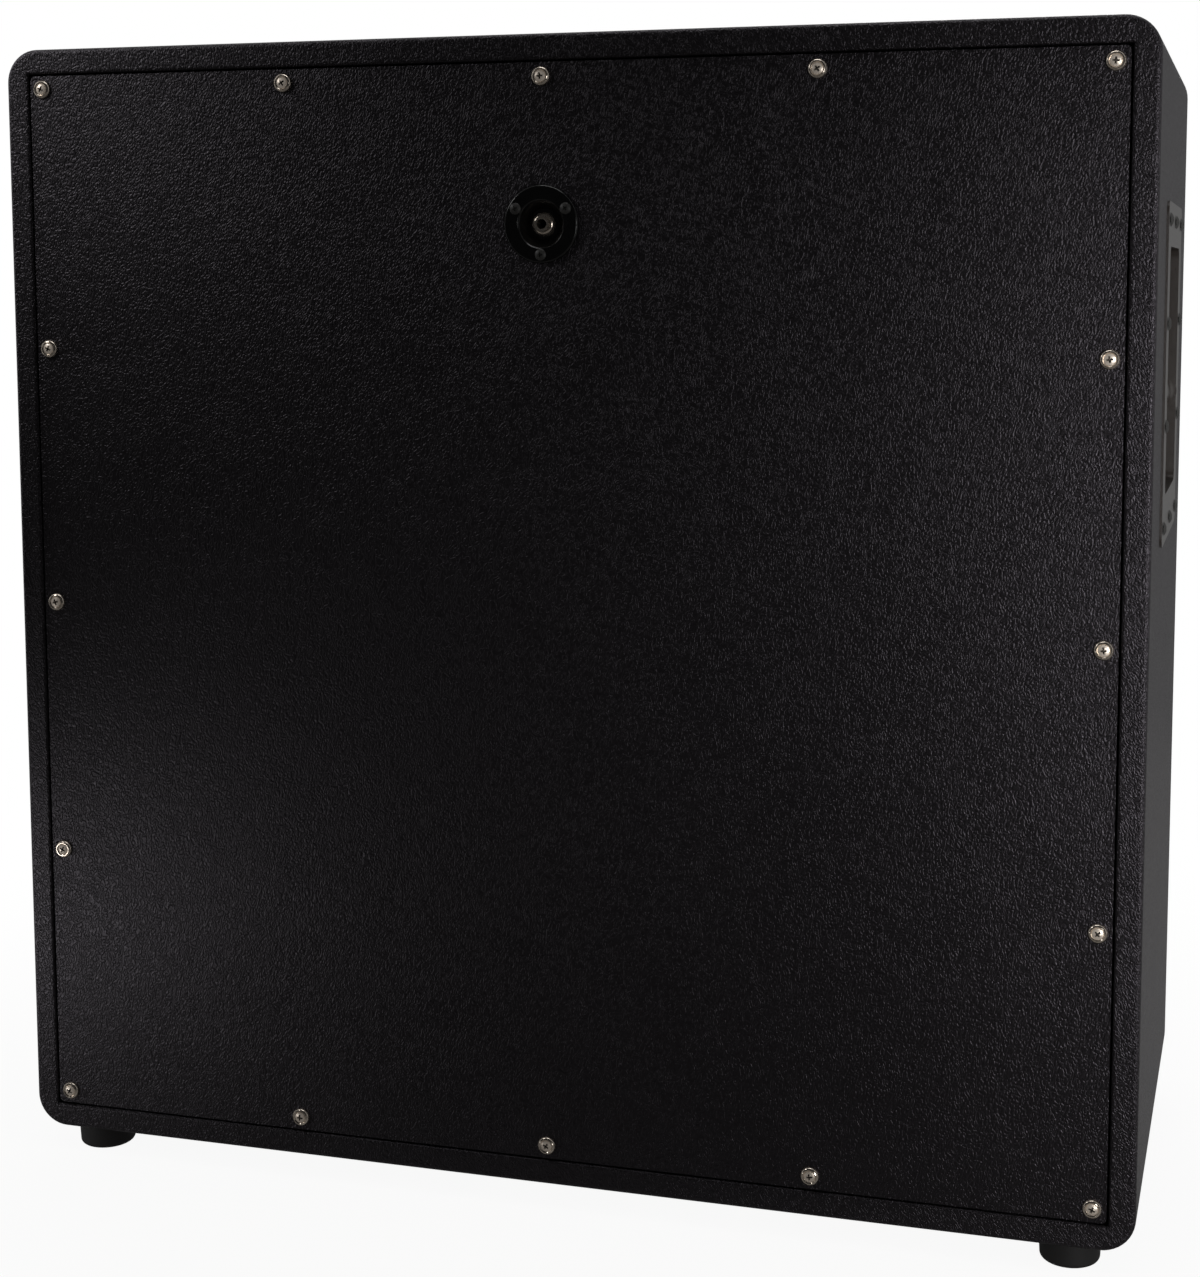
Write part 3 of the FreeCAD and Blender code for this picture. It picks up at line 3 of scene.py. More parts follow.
import bmesh
import bpy
from bpy.props import FloatProperty, FloatVectorProperty, IntProperty, PointerProperty
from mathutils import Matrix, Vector
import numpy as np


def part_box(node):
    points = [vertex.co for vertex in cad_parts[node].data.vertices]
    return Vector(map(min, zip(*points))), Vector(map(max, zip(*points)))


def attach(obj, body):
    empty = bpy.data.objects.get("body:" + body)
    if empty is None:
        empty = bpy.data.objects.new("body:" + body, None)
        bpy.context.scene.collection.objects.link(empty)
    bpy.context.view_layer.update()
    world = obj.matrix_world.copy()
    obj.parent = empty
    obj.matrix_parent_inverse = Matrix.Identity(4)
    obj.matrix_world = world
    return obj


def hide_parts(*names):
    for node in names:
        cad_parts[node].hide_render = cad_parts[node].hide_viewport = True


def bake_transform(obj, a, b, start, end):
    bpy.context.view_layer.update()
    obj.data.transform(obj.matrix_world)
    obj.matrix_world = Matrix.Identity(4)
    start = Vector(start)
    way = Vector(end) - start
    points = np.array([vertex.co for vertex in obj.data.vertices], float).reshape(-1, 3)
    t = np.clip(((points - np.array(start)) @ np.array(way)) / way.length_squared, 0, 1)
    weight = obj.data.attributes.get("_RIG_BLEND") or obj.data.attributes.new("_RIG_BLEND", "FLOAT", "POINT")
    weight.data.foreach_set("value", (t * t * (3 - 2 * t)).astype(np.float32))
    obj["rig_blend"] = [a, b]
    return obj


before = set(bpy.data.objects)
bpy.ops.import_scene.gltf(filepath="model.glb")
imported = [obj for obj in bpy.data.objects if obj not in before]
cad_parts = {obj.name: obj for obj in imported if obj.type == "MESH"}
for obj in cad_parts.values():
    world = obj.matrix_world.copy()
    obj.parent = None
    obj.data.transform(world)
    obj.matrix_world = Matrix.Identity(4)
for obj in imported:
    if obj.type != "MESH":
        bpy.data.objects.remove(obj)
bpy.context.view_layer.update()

bl_info = {
    "name": "Speaker Cabinet Finish",
    "version": (1, 0, 0),
    "blender": (4, 5, 0),
    "location": "3D View > Sidebar > Cabinet",
    "description": "Dresses a closed-back guitar speaker cabinet on its packed frame",
    "category": "Object",
}

MM = 0.001
CABINET = "cabinet"
DRIVERS = ("upper_left", "upper_right", "lower_left", "lower_right")

# The cross recess of each kind of screw: reach of an arm, half its width, and its depth.
RECESSES = {
    "oval_head_screw": (2.5 * MM, 0.62 * MM, 2.2 * MM),
    "dish_screw": (2.0 * MM, 0.45 * MM, 1.5 * MM),
    "domed_screw": (2.3 * MM, 0.5 * MM, 1.8 * MM),
    "foot_screw": (2.8 * MM, 0.6 * MM, 2.2 * MM),
}

# Each softbox by the name of its power: its place, what it looks at, its width and height,
# and its beam in degrees.
SOFTBOXES = {
    "key": ((-0.8, 0.85, 0.42), (-0.55, 0.17, 0.42), 0.14, 0.8, 70),
    "fill": ((0.72, 0.46, 0.98), (0.4, 0.17, 0.7), 0.25, 0.25, 70),
    "low_fill": ((0.72, 0.5, 0.05), (0.4, 0.17, 0.14), 0.3, 0.1, 60),
    "front": ((0, -2.4, 1.3), (0, 0, 0.39), 0.7, 0.9, 180),
    "overhead": ((0, 0.1, 2.3), (0, 0, 0.7), 1.2, 0.8, 180),
}


def linear(code):
    """An sRGB hex colour as three linear numbers."""
    parts = [int(code[k:k + 2], 16) / 255 for k in (1, 3, 5)]
    return [p / 12.92 if p <= 0.04045 else ((p + 0.055) / 1.055) ** 2.4 for p in parts]


def rgba(colour):
    """A linear colour with its alpha, as colour sockets take it."""
    return (*colour, 1.0)


def add(tree, kind, inputs=None, **settings):
    """Adds a node. Settings are its own, inputs are values for its sockets or sockets to link there."""
    node = tree.nodes.new(kind)
    for name, value in settings.items():
        setattr(node, name, value)
    for key, value in (inputs or {}).items():
        if isinstance(value, bpy.types.NodeSocket):
            tree.links.new(value, node.inputs[key])
        else:
            node.inputs[key].default_value = value
    return node


def blank(name):
    """A new material with an empty tree."""
    material = bpy.data.materials.new(name)
    material.use_nodes = True
    material.node_tree.nodes.clear()
    return material, material.node_tree


class CABINET_PG_covering(bpy.types.PropertyGroup):
    top: FloatVectorProperty(
        name="Grain", description="Colour of the vinyl on top of its grain",
        size=3, subtype="COLOR", min=0, max=1, default=linear("#0a0909"))
    # Painted shade: the crease colour is darker than the grain's top and stands for the shade in the creases.
    painted_crease_shade: FloatVectorProperty(
        name="Crease", description="Colour of the vinyl in the creases of its grain",
        size=3, subtype="COLOR", min=0, max=1, default=linear("#040303"))
    sheen: FloatVectorProperty(
        name="Sheen", description="Tint of the vinyl's gloss",
        size=3, subtype="COLOR", min=0, max=1, default=linear("#fcf2ff"))
    grain_wide: FloatProperty(
        name="Grain width", description="Width of one fold of the grain",
        default=1.65 * MM, unit="LENGTH", precision=4)
    grain_long: FloatProperty(
        name="Grain length", description="Length of one fold of the grain",
        default=2.8 * MM, unit="LENGTH", precision=4)
    relief: FloatProperty(
        name="Relief", description="Height of the grain over its creases",
        default=0.27 * MM, unit="LENGTH", precision=5)
    drift: FloatProperty(
        name="Drift", description="Distance over which the grain changes its direction",
        default=75 * MM, unit="LENGTH")
    sway: FloatProperty(
        name="Sway", description="How far the grain wanders sideways",
        default=10 * MM, unit="LENGTH")
    curl: FloatProperty(
        name="Curl", description="Distance over which one fold of the grain curls",
        default=4.3 * MM, unit="LENGTH", precision=4)
    throw: FloatProperty(
        name="Throw", description="How far one fold of the grain curls sideways",
        default=1.3 * MM, unit="LENGTH", precision=4)
    lean: FloatProperty(
        name="Lean", description="Lean of the back panel's grain from upright",
        default=math.radians(-14), subtype="ANGLE")


class CABINET_PG_hardware(bpy.types.PropertyGroup):
    nickel: FloatVectorProperty(
        name="Nickel", description="Colour of the plated screws, washers and jack",
        size=3, subtype="COLOR", min=0, max=1, default=linear("#e2d6c8"))
    blackened: FloatVectorProperty(
        name="Blackened steel", description="Colour of the handle and jack dish screws",
        size=3, subtype="COLOR", min=0, max=1, default=linear("#242321"))
    enamel: FloatVectorProperty(
        name="Handle enamel", description="Colour of the side handles",
        size=3, subtype="COLOR", min=0, max=1, default=linear("#2e2926"))
    rubber: FloatVectorProperty(
        name="Rubber", description="Colour of the feet",
        size=3, subtype="COLOR", min=0, max=1, default=linear("#151414"))
    head_radius: FloatProperty(
        name="Head radius", description="Radius of a back panel screw's head",
        default=3.6 * MM, unit="LENGTH", precision=4)
    head_crown: FloatProperty(
        name="Head crown", description="Rise of a back panel screw's oval head",
        default=0.9 * MM, unit="LENGTH", precision=4)
    shank_radius: FloatProperty(
        name="Shank radius", description="Radius of the back panel and handle screws",
        default=1.9 * MM, unit="LENGTH", precision=4)
    cup_radius: FloatProperty(
        name="Cup radius", description="Radius of a cup washer",
        default=6.1 * MM, unit="LENGTH", precision=4)
    seat_height: FloatProperty(
        name="Head edge", description="Height of a back panel screw's head edge over the panel",
        default=1.75 * MM, unit="LENGTH", precision=4)
    dome_radius: FloatProperty(
        name="Dome radius", description="Radius of a handle screw's head",
        default=4.4 * MM, unit="LENGTH", precision=4)
    dish_head: FloatProperty(
        name="Dish screw radius", description="Radius of a jack dish screw's head",
        default=3.7 * MM, unit="LENGTH", precision=4)
    foot_head: FloatProperty(
        name="Foot screw radius", description="Radius of a foot screw's head",
        default=5.2 * MM, unit="LENGTH", precision=4)
    foot_rise: FloatProperty(
        name="Foot screw head", description="Height of a foot screw's head",
        default=3.2 * MM, unit="LENGTH", precision=4)
    foot_shank: FloatProperty(
        name="Foot shank radius", description="Radius of a foot screw's shank",
        default=2.4 * MM, unit="LENGTH", precision=4)
    dish_shank: FloatProperty(
        name="Dish shank radius", description="Radius of a jack dish screw's shank",
        default=1.48 * MM, unit="LENGTH", precision=5)
    handle_bite: FloatProperty(
        name="Handle screw length", description="Length of a handle screw under its head",
        default=13 * MM, unit="LENGTH", precision=4)
    point: FloatProperty(
        name="Screw point", description="Length of a screw's tapered point",
        default=4 * MM, unit="LENGTH", precision=4)
    seed: IntProperty(
        name="Turn seed", description="Seed for the turn of each screw's recess", default=7)


class CABINET_PG_grille(bpy.types.PropertyGroup):
    # Painted shade: the hollow colour stands for the shade between the threads.
    painted_hollow_shade: FloatVectorProperty(
        name="Hollow", description="Colour of the grille cloth between its threads",
        size=3, subtype="COLOR", min=0, max=1, default=linear("#0d0c0b"))
    colour: FloatVectorProperty(
        name="Thread colour", description="Colour of the grille cloth on top of its threads",
        size=3, subtype="COLOR", min=0, max=1, default=linear("#4a4642"))
    thread: FloatProperty(
        name="Thread", description="Spacing of the threads",
        default=2.8 * MM, unit="LENGTH", precision=4)
    thick: FloatProperty(
        name="Cloth", description="Thickness of the grille cloth",
        default=0.8 * MM, unit="LENGTH", precision=4)
    turn_in: FloatProperty(
        name="Turn-in", description="Cloth that is turned in behind the frame",
        default=26 * MM, unit="LENGTH")
    fold: FloatProperty(
        name="Fold", description="Outer radius of the cloth round the frame's edges",
        default=2 * MM, unit="LENGTH", precision=4)
    sag: FloatProperty(
        name="Sag", description="How far the cloth lies back between the frame's bars",
        default=0.5 * MM, unit="LENGTH", precision=4)


class CABINET_PG_drivers(bpy.types.PropertyGroup):
    surround_lip: FloatProperty(
        name="Surround lip", description="Width of the surround's inner lip on the cone",
        default=6 * MM, unit="LENGTH", precision=4)
    surround_flange: FloatProperty(
        name="Surround flange", description="Width of the surround's outer lip on the basket",
        default=6.7 * MM, unit="LENGTH", precision=4)
    surround_thick: FloatProperty(
        name="Surround", description="Thickness of the surround's cloth",
        default=0.6 * MM, unit="LENGTH", precision=4)
    surround_waves: IntProperty(
        name="Surround rolls", description="Number of half rolls in the surround", default=3, min=1)
    spider_grip: FloatProperty(
        name="Spider grip", description="How far the spider's inner lip reaches into the voice coil",
        default=0.5 * MM, unit="LENGTH", precision=4)
    spider_collar: FloatProperty(
        name="Spider collar", description="Width of the spider's inner lip outside the voice coil",
        default=2.6 * MM, unit="LENGTH", precision=4)
    spider_flange: FloatProperty(
        name="Spider flange", description="Width of the spider's outer lip on the basket",
        default=7.5 * MM, unit="LENGTH", precision=4)
    spider_thick: FloatProperty(
        name="Spider", description="Thickness of the spider's cloth",
        default=0.5 * MM, unit="LENGTH", precision=4)
    spider_waves: IntProperty(
        name="Spider pleats", description="Number of half pleats in the spider", default=6, min=1)


class CABINET_PG_stage(bpy.types.PropertyGroup):
    lens: FloatProperty(
        name="Lens", description="Focal length on a 36 mm long side",
        default=60.409, subtype="DISTANCE_CAMERA")
    shift: FloatVectorProperty(
        name="Shift", description="Level and upright shift of the frame",
        size=2, default=(-0.0524, -0.1101))
    stand: FloatVectorProperty(
        name="Stand", description="Place of the camera",
        size=3, subtype="TRANSLATION", default=(-0.4496, 1.4646, 0.6125))
    aim: FloatVectorProperty(
        name="Aim", description="Turn of the camera",
        size=3, subtype="EULER", default=[math.radians(a) for a in (84.158, -0.005, -164.118)])
    key: FloatProperty(
        name="Key light", description="Power of the tall softbox on the handle's side",
        default=1.4, subtype="POWER")
    fill: FloatProperty(
        name="Fill light", description="Power of the softbox on the other side",
        default=0.22, subtype="POWER")
    low_fill: FloatProperty(
        name="Low fill light", description="Power of the small softbox near the floor",
        default=0.085, subtype="POWER")
    front: FloatProperty(
        name="Front light", description="Power of the softbox on the grille's side",
        default=22.0, subtype="POWER")
    overhead: FloatProperty(
        name="Overhead light", description="Power of the softbox over the cabinet",
        default=6.0, subtype="POWER")
    room: FloatProperty(
        name="Room", description="Level of the plain light from all round", default=0.5)
    mirrored: FloatProperty(
        name="Mirrored backdrop", description="Level of what lies behind the cabinet in reflections",
        default=0.27)
    floor_radius: FloatProperty(
        name="Floor radius", description="Radius of the floor's disc", default=1.5, unit="LENGTH")
    floor_drop: FloatProperty(
        name="Floor drop", description="How far the floor lies under the feet, so that they share no plane",
        default=0.4 * MM, unit="LENGTH", precision=4)


def mottled(name, dark, light, spot, rough, metal=0.0, relief=0.0, stretch=(1, 1, 1), edge=0.0):
    """A finish whose shade and gloss wander between two ends, in spots of a size in metres.
    An edge is the radius that sharp corners seem to have; a finish with relief shows none."""
    material, tree = blank(name)
    place = add(tree, "ShaderNodeTexCoord").outputs["Object"]
    sized = add(tree, "ShaderNodeMapping", {
        "Vector": place, "Scale": [spot * s for s in stretch]}, vector_type="TEXTURE")
    spots = add(tree, "ShaderNodeTexNoise", {
        "Vector": sized.outputs[0], "Scale": 1.0, "Detail": 5.0, "Roughness": 0.6})
    shade = add(tree, "ShaderNodeMix", {
        0: spots.outputs[0], 6: rgba(dark), 7: rgba(light)}, data_type="RGBA")
    gloss = add(tree, "ShaderNodeMapRange", {
        "Value": spots.outputs[0], "From Min": 0.3, "From Max": 0.7, "To Min": rough[0], "To Max": rough[1]})
    sockets = {"Base Color": shade.outputs[2], "Roughness": gloss.outputs[0], "Metallic": metal}
    if edge:
        sockets["Normal"] = add(tree, "ShaderNodeBevel", {"Radius": edge}, samples=16).outputs[0]
    if relief:
        bump = add(tree, "ShaderNodeBump", {"Height": spots.outputs[0], "Distance": relief})
        sockets["Normal"] = bump.outputs[0]
    shader = add(tree, "ShaderNodeBsdfPrincipled", sockets)
    add(tree, "ShaderNodeOutputMaterial", {"Surface": shader.outputs[0]})
    return material


def leather_grain_vinyl(name, look, lean):
    """PVC on cloth, hot pressed with a fine leather grain: satin and nearly black.
    Its wandering folds catch side light, and the creases between them are darkened with painted shade."""
    material, tree = blank(name)
    place = add(tree, "ShaderNodeTexCoord").outputs["Object"]
    bent = place
    for length, throw, detail in ((look.drift, look.sway, 2.0), (look.curl, look.throw, 1.0)):
        wander = add(tree, "ShaderNodeTexNoise", {"Vector": place, "Scale": 1 / length, "Detail": detail})
        sideways = add(tree, "ShaderNodeVectorMath", {
            0: wander.outputs["Color"], 1: (0.5, 0.5, 0.5)}, operation="SUBTRACT")
        bent = add(tree, "ShaderNodeVectorMath", {
            0: sideways.outputs[0], 1: [throw] * 3, 2: bent}, operation="MULTIPLY_ADD").outputs[0]
    grain = add(tree, "ShaderNodeMapping", {
        "Vector": bent, "Rotation": (lean / 2, lean, 0),
        "Scale": (look.grain_wide, look.grain_wide, look.grain_long)}, vector_type="TEXTURE").outputs[0]
    swell = add(tree, "ShaderNodeTexNoise", {"Vector": grain, "Scale": 1.0, "Detail": 0.0})
    middle = add(tree, "ShaderNodeMath", {0: swell.outputs[0], 1: 0.5}, operation="SUBTRACT")
    apart = add(tree, "ShaderNodeMath", {0: middle.outputs[0]}, operation="ABSOLUTE")
    fold = add(tree, "ShaderNodeMapRange", {
        "Value": apart.outputs[0], "From Min": 0.0, "From Max": 0.21}, interpolation_type="SMOOTHSTEP")
    ripple = add(tree, "ShaderNodeTexNoise", {"Vector": grain, "Scale": 2.6, "Detail": 2.0, "Roughness": 0.5})
    height = add(tree, "ShaderNodeMath", {
        0: ripple.outputs[0], 1: 0.45, 2: fold.outputs[0]}, operation="MULTIPLY_ADD")
    # Painted shade: the colour turns darker from the tops of the folds down into the creases.
    shade = add(tree, "ShaderNodeMix", {
        0: fold.outputs[0], 6: rgba(look.painted_crease_shade), 7: rgba(look.top)}, data_type="RGBA")
    gloss = add(tree, "ShaderNodeMapRange", {"Value": fold.outputs[0], "To Min": 0.48, "To Max": 0.41})
    bump = add(tree, "ShaderNodeBump", {"Height": height.outputs[0], "Distance": look.relief})
    shader = add(tree, "ShaderNodeBsdfPrincipled", {
        "Base Color": shade.outputs[2], "Roughness": gloss.outputs[0], "IOR": 1.52, "Normal": bump.outputs[0],
        "Specular Tint": rgba(look.sheen)})
    add(tree, "ShaderNodeOutputMaterial", {"Surface": shader.outputs[0]})
    return material


def woven_grille_cloth(look):
    """Plain-woven synthetic thread: dull, dark and slightly salt-and-pepper, with a rounded ridge to each
    thread and painted shade darkening the hollows between. The threads are drawn over twice as coarse as real
    ones, so that they show in the render."""
    material, tree = blank("woven_grille_cloth")
    flat = add(tree, "ShaderNodeUVMap", uv_map="cloth").outputs[0]
    threads = add(tree, "ShaderNodeMapping", {
        "Vector": flat, "Scale": [look.thread] * 3}, vector_type="TEXTURE")
    over = add(tree, "ShaderNodeTexChecker", {"Vector": threads.outputs[0], "Scale": 1.0})
    axes = add(tree, "ShaderNodeSeparateXYZ", {0: threads.outputs[0]})
    ridges = []
    for axis in (0, 1):
        turn = add(tree, "ShaderNodeMath", {0: axes.outputs[axis], 1: math.pi}, operation="MULTIPLY")
        wave = add(tree, "ShaderNodeMath", {0: turn.outputs[0]}, operation="SINE")
        ridges.append(add(tree, "ShaderNodeMath", {0: wave.outputs[0]}, operation="ABSOLUTE").outputs[0])
    height = add(tree, "ShaderNodeMix", {0: over.outputs["Fac"], 2: ridges[0], 3: ridges[1]})
    fuzz = add(tree, "ShaderNodeTexNoise", {"Vector": threads.outputs[0], "Scale": 0.35, "Detail": 4.0})
    uneven = add(tree, "ShaderNodeMapRange", {
        "Value": fuzz.outputs[0], "From Min": 0.3, "From Max": 0.7, "To Min": 0.45, "To Max": 1.0})
    # Warp and weft differ in tone. On top of that, painted shade darkens the colour towards the hollows by the
    # weave's height.
    upper = add(tree, "ShaderNodeMath", {0: over.outputs["Fac"], 1: 0.6, 2: 0.4}, operation="MULTIPLY_ADD")
    tone_and_painted_shade = add(tree, "ShaderNodeMath", {0: upper.outputs[0], 1: height.outputs[0]}, operation="MULTIPLY")
    pick = add(tree, "ShaderNodeMath", {0: tone_and_painted_shade.outputs[0], 1: uneven.outputs[0]}, operation="MULTIPLY")
    shade = add(tree, "ShaderNodeMix", {
        0: pick.outputs[0], 6: rgba(look.painted_hollow_shade), 7: rgba(look.colour)}, data_type="RGBA")
    bump = add(tree, "ShaderNodeBump", {"Height": height.outputs[0], "Distance": 0.45 * MM})
    shader = add(tree, "ShaderNodeBsdfPrincipled", {
        "Base Color": shade.outputs[2], "Roughness": 0.82, "Specular IOR Level": 0.3,
        "Normal": bump.outputs[0]})
    add(tree, "ShaderNodeOutputMaterial", {"Surface": shader.outputs[0]})
    return material


def sawn_wood(name, early, late, band, grain):
    """Wood cut along the grain: bands of early and late growth with fine pores, dull and dry."""
    material, tree = blank(name)
    place = add(tree, "ShaderNodeTexCoord").outputs["Object"]
    along = add(tree, "ShaderNodeMapping", {
        "Vector": place, "Scale": [band * g for g in grain]}, vector_type="TEXTURE")
    bands = add(tree, "ShaderNodeTexWave", {
        "Vector": along.outputs[0], "Scale": 0.3, "Distortion": 7.0, "Detail": 3.0, "Detail Scale": 1.2},
        wave_profile="SAW")
    pores = add(tree, "ShaderNodeTexNoise", {"Vector": along.outputs[0], "Scale": 9.0, "Detail": 3.0})
    worn = add(tree, "ShaderNodeMath", {0: bands.outputs["Fac"], 1: pores.outputs[0]}, operation="MULTIPLY")
    shade = add(tree, "ShaderNodeMix", {
        0: worn.outputs[0], 6: rgba(early), 7: rgba(late)}, data_type="RGBA")
    bump = add(tree, "ShaderNodeBump", {"Height": pores.outputs[0], "Distance": 0.08 * MM})
    shader = add(tree, "ShaderNodeBsdfPrincipled", {
        "Base Color": shade.outputs[2], "Roughness": 0.7, "Normal": bump.outputs[0]})
    add(tree, "ShaderNodeOutputMaterial", {"Surface": shader.outputs[0]})
    return material


def finish_nodes(material, *names):
    """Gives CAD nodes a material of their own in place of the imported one."""
    for name in names:
        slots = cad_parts[name].data.materials
        slots.clear()
        slots.append(material)


def piece_from(name, mesh, material=None):
    """A new object at the origin for a mesh that already lies in its place."""
    piece = bpy.data.objects.new(name, mesh)
    bpy.context.scene.collection.objects.link(piece)
    if material:
        mesh.materials.clear()
        mesh.materials.append(material)
    return piece


def smooth(mesh, angle=35):
    """Shades a mesh smooth, with a sharp line along every edge that turns more than the angle."""
    mesh.shade_smooth()
    mesh.set_sharp_from_angle(angle=math.radians(angle))


def plain_mesh(thing):
    """What an object and its modifiers give, as one plain mesh."""
    bpy.context.view_layer.update()
    graph = bpy.context.evaluated_depsgraph_get()
    return bpy.data.meshes.new_from_object(thing.evaluated_get(graph))


def lathe(name, profile, steps=48, closed=False):
    """A mesh turned about Z from pairs of radius and height.
    The profile runs from the axis back to the axis, or is a closed loop."""
    shape = bmesh.new()
    rings = []
    for radius, height in profile:
        count = steps if radius > 0 else 1
        turns = [2 * math.pi * k / count for k in range(count)]
        rings.append([shape.verts.new((radius * math.cos(t), radius * math.sin(t), height)) for t in turns])
    pairs = list(zip(rings, rings[1:]))
    if closed:
        pairs.append((rings[-1], rings[0]))
    for low, high in pairs:
        for k in range(steps):
            below = (low[k % len(low)], low[(k + 1) % len(low)])
            above = (high[(k + 1) % len(high)], high[k % len(high)])
            corners = list(dict.fromkeys(below + above))
            if len(corners) > 2:
                shape.faces.new(corners)
    bmesh.ops.recalc_face_normals(shape, faces=shape.faces)
    mesh = bpy.data.meshes.new(name)
    shape.to_mesh(mesh)
    shape.free()
    return mesh


def cross_recess(name, top, reach, wide, deep):
    """A cutter for a cross recess: a plus-shaped block that narrows towards its floor."""
    floor_reach, floor_wide = reach * 0.35, wide * 0.7
    shape = bmesh.new()
    rings = []
    for height, arm, half in ((top, reach, wide), (-deep, floor_reach, floor_wide)):
        outline = []
        for a, b in ((1, 0), (0, 1), (-1, 0), (0, -1)):
            outline += [(arm * a + half * b, arm * b - half * a), (arm * a - half * b, arm * b + half * a)]
            outline.append((half * (a - b), half * (a + b)))
        rings.append([shape.verts.new((x, y, height)) for x, y in outline])
    shape.faces.new(rings[0])
    shape.faces.new(reversed(rings[1]))
    for k in range(len(rings[0])):
        after = (k + 1) % len(rings[0])
        shape.faces.new((rings[0][k], rings[1][k], rings[1][after], rings[0][after]))
    bmesh.ops.recalc_face_normals(shape, faces=shape.faces)
    mesh = bpy.data.meshes.new(name)
    shape.to_mesh(mesh)
    shape.free()
    return mesh


def arc(radius, rise, edge, steps=8):
    """A dome's profile from its edge to its top, as pairs of radius and height."""
    bend = (radius * radius + rise * rise) / (2 * rise)
    points = []
    for k in range(steps + 1):
        r = radius * (1 - k / steps)
        points.append((r, edge + rise - bend + math.sqrt(bend * bend - r * r)))
    return points


def shank(radius, length, point):
    """A screw's profile from its tip to the underside of its head."""
    return [(0, -length), (radius, point - length), (radius, 0)]


def dome(radius, tall, side, shoulder, inset):
    """A screw head's profile: a flat underside, an upright side and a dome that starts a little further in.
    Side and shoulder are heights as shares of the head's, the inset is the dome's share of its radius."""
    return [(radius, 0), (radius, tall * side)] + arc(radius * inset, tall * (1 - shoulder), tall * shoulder)


def screw(name, profile, top):
    """A turned screw with a cross recess sunk into its head, standing along Z."""
    reach, wide, deep = RECESSES[name]
    proud = 0.2 * MM
    body = piece_from(name, lathe(name, profile))
    block = cross_recess(name + "_recess", top + proud, reach, wide, deep - top)
    cutter = piece_from(name + "_recess", block)
    cut = body.modifiers.new("recess", "BOOLEAN")
    cut.operation = "DIFFERENCE"
    cut.solver = "EXACT"
    cut.object = cutter
    mesh = plain_mesh(body)
    bpy.data.objects.remove(cutter)
    body.modifiers.clear()
    body.data = mesh
    smooth(mesh)
    return body


def setting_tree():
    """Sets a piece on every point, its axis along the point's facing, each with a turn of its own."""
    tree = bpy.data.node_groups.new("screw_setting", "GeometryNodeTree")
    sockets = (
        ("Points", "Geometry"), ("Piece", "Object"), ("Turn seed", "Int"), ("Largest turn", "Float"),
        ("Finish", "Material"),
    )
    for name, kind in sockets:
        tree.interface.new_socket(name, in_out="INPUT", socket_type="NodeSocket" + kind)
    tree.interface.new_socket("Set pieces", in_out="OUTPUT", socket_type="NodeSocketGeometry")
    given = add(tree, "NodeGroupInput").outputs
    facing = add(tree, "GeometryNodeInputNamedAttribute", {"Name": "facing"}, data_type="FLOAT_VECTOR")
    upright = add(tree, "FunctionNodeAlignRotationToVector", {"Vector": facing.outputs[0]}, axis="Z")
    turn = add(tree, "FunctionNodeRandomValue", {
        2: 0.0, 3: given["Largest turn"], "Seed": given["Turn seed"]}, data_type="FLOAT")
    spin = add(tree, "FunctionNodeAxisAngleToRotation", {"Axis": (0, 0, 1), "Angle": turn.outputs[1]})
    aimed = add(tree, "FunctionNodeRotateRotation", {
        "Rotation": upright.outputs[0], "Rotate By": spin.outputs[0]}, rotation_space="LOCAL")
    piece = add(tree, "GeometryNodeObjectInfo", {"Object": given["Piece"], "As Instance": True})
    placed = add(tree, "GeometryNodeInstanceOnPoints", {
        "Points": given["Points"], "Instance": piece.outputs["Geometry"], "Rotation": aimed.outputs[0]})
    real = add(tree, "GeometryNodeRealizeInstances", {"Geometry": placed.outputs[0]})
    painted = add(tree, "GeometryNodeSetMaterial", {"Geometry": real.outputs[0], "Material": given["Finish"]})
    add(tree, "NodeGroupOutput", {0: painted.outputs[0]})
    return tree


def set_screws(name, screw_piece, spots, finish, seed, node):
    """Sets one screw on each spot, a pair of place and facing, and lets the set stand for a CAD node."""
    mesh = bpy.data.meshes.new(name)
    mesh.from_pydata([place for place, facing in spots], [], [])
    facings = mesh.attributes.new("facing", "FLOAT_VECTOR", "POINT")
    for item, (place, facing) in zip(facings.data, spots):
        item.vector = facing
    piece = piece_from(name, mesh)
    tree = bpy.data.node_groups.get("screw_setting") or setting_tree()
    wanted = {"Piece": screw_piece, "Turn seed": seed, "Largest turn": math.pi / 2, "Finish": finish}
    setter = piece.modifiers.new("setting", "NODES")
    setter.node_group = tree
    for item in tree.interface.items_tree:
        if item.in_out == "INPUT" and item.name in wanted:
            setter[item.identifier] = wanted[item.name]
    made = plain_mesh(piece)
    piece.modifiers.clear()
    piece.data = made
    made.name = name
    bpy.data.meshes.remove(mesh)
    bpy.data.objects.remove(screw_piece)
    if len(made.polygons) < len(spots):
        raise RuntimeError(name + " came out empty")
    if finish.name not in [m.name for m in made.materials if m]:
        raise RuntimeError(name + " has no finish")
    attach(piece, CABINET)
    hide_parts(node)
    return piece


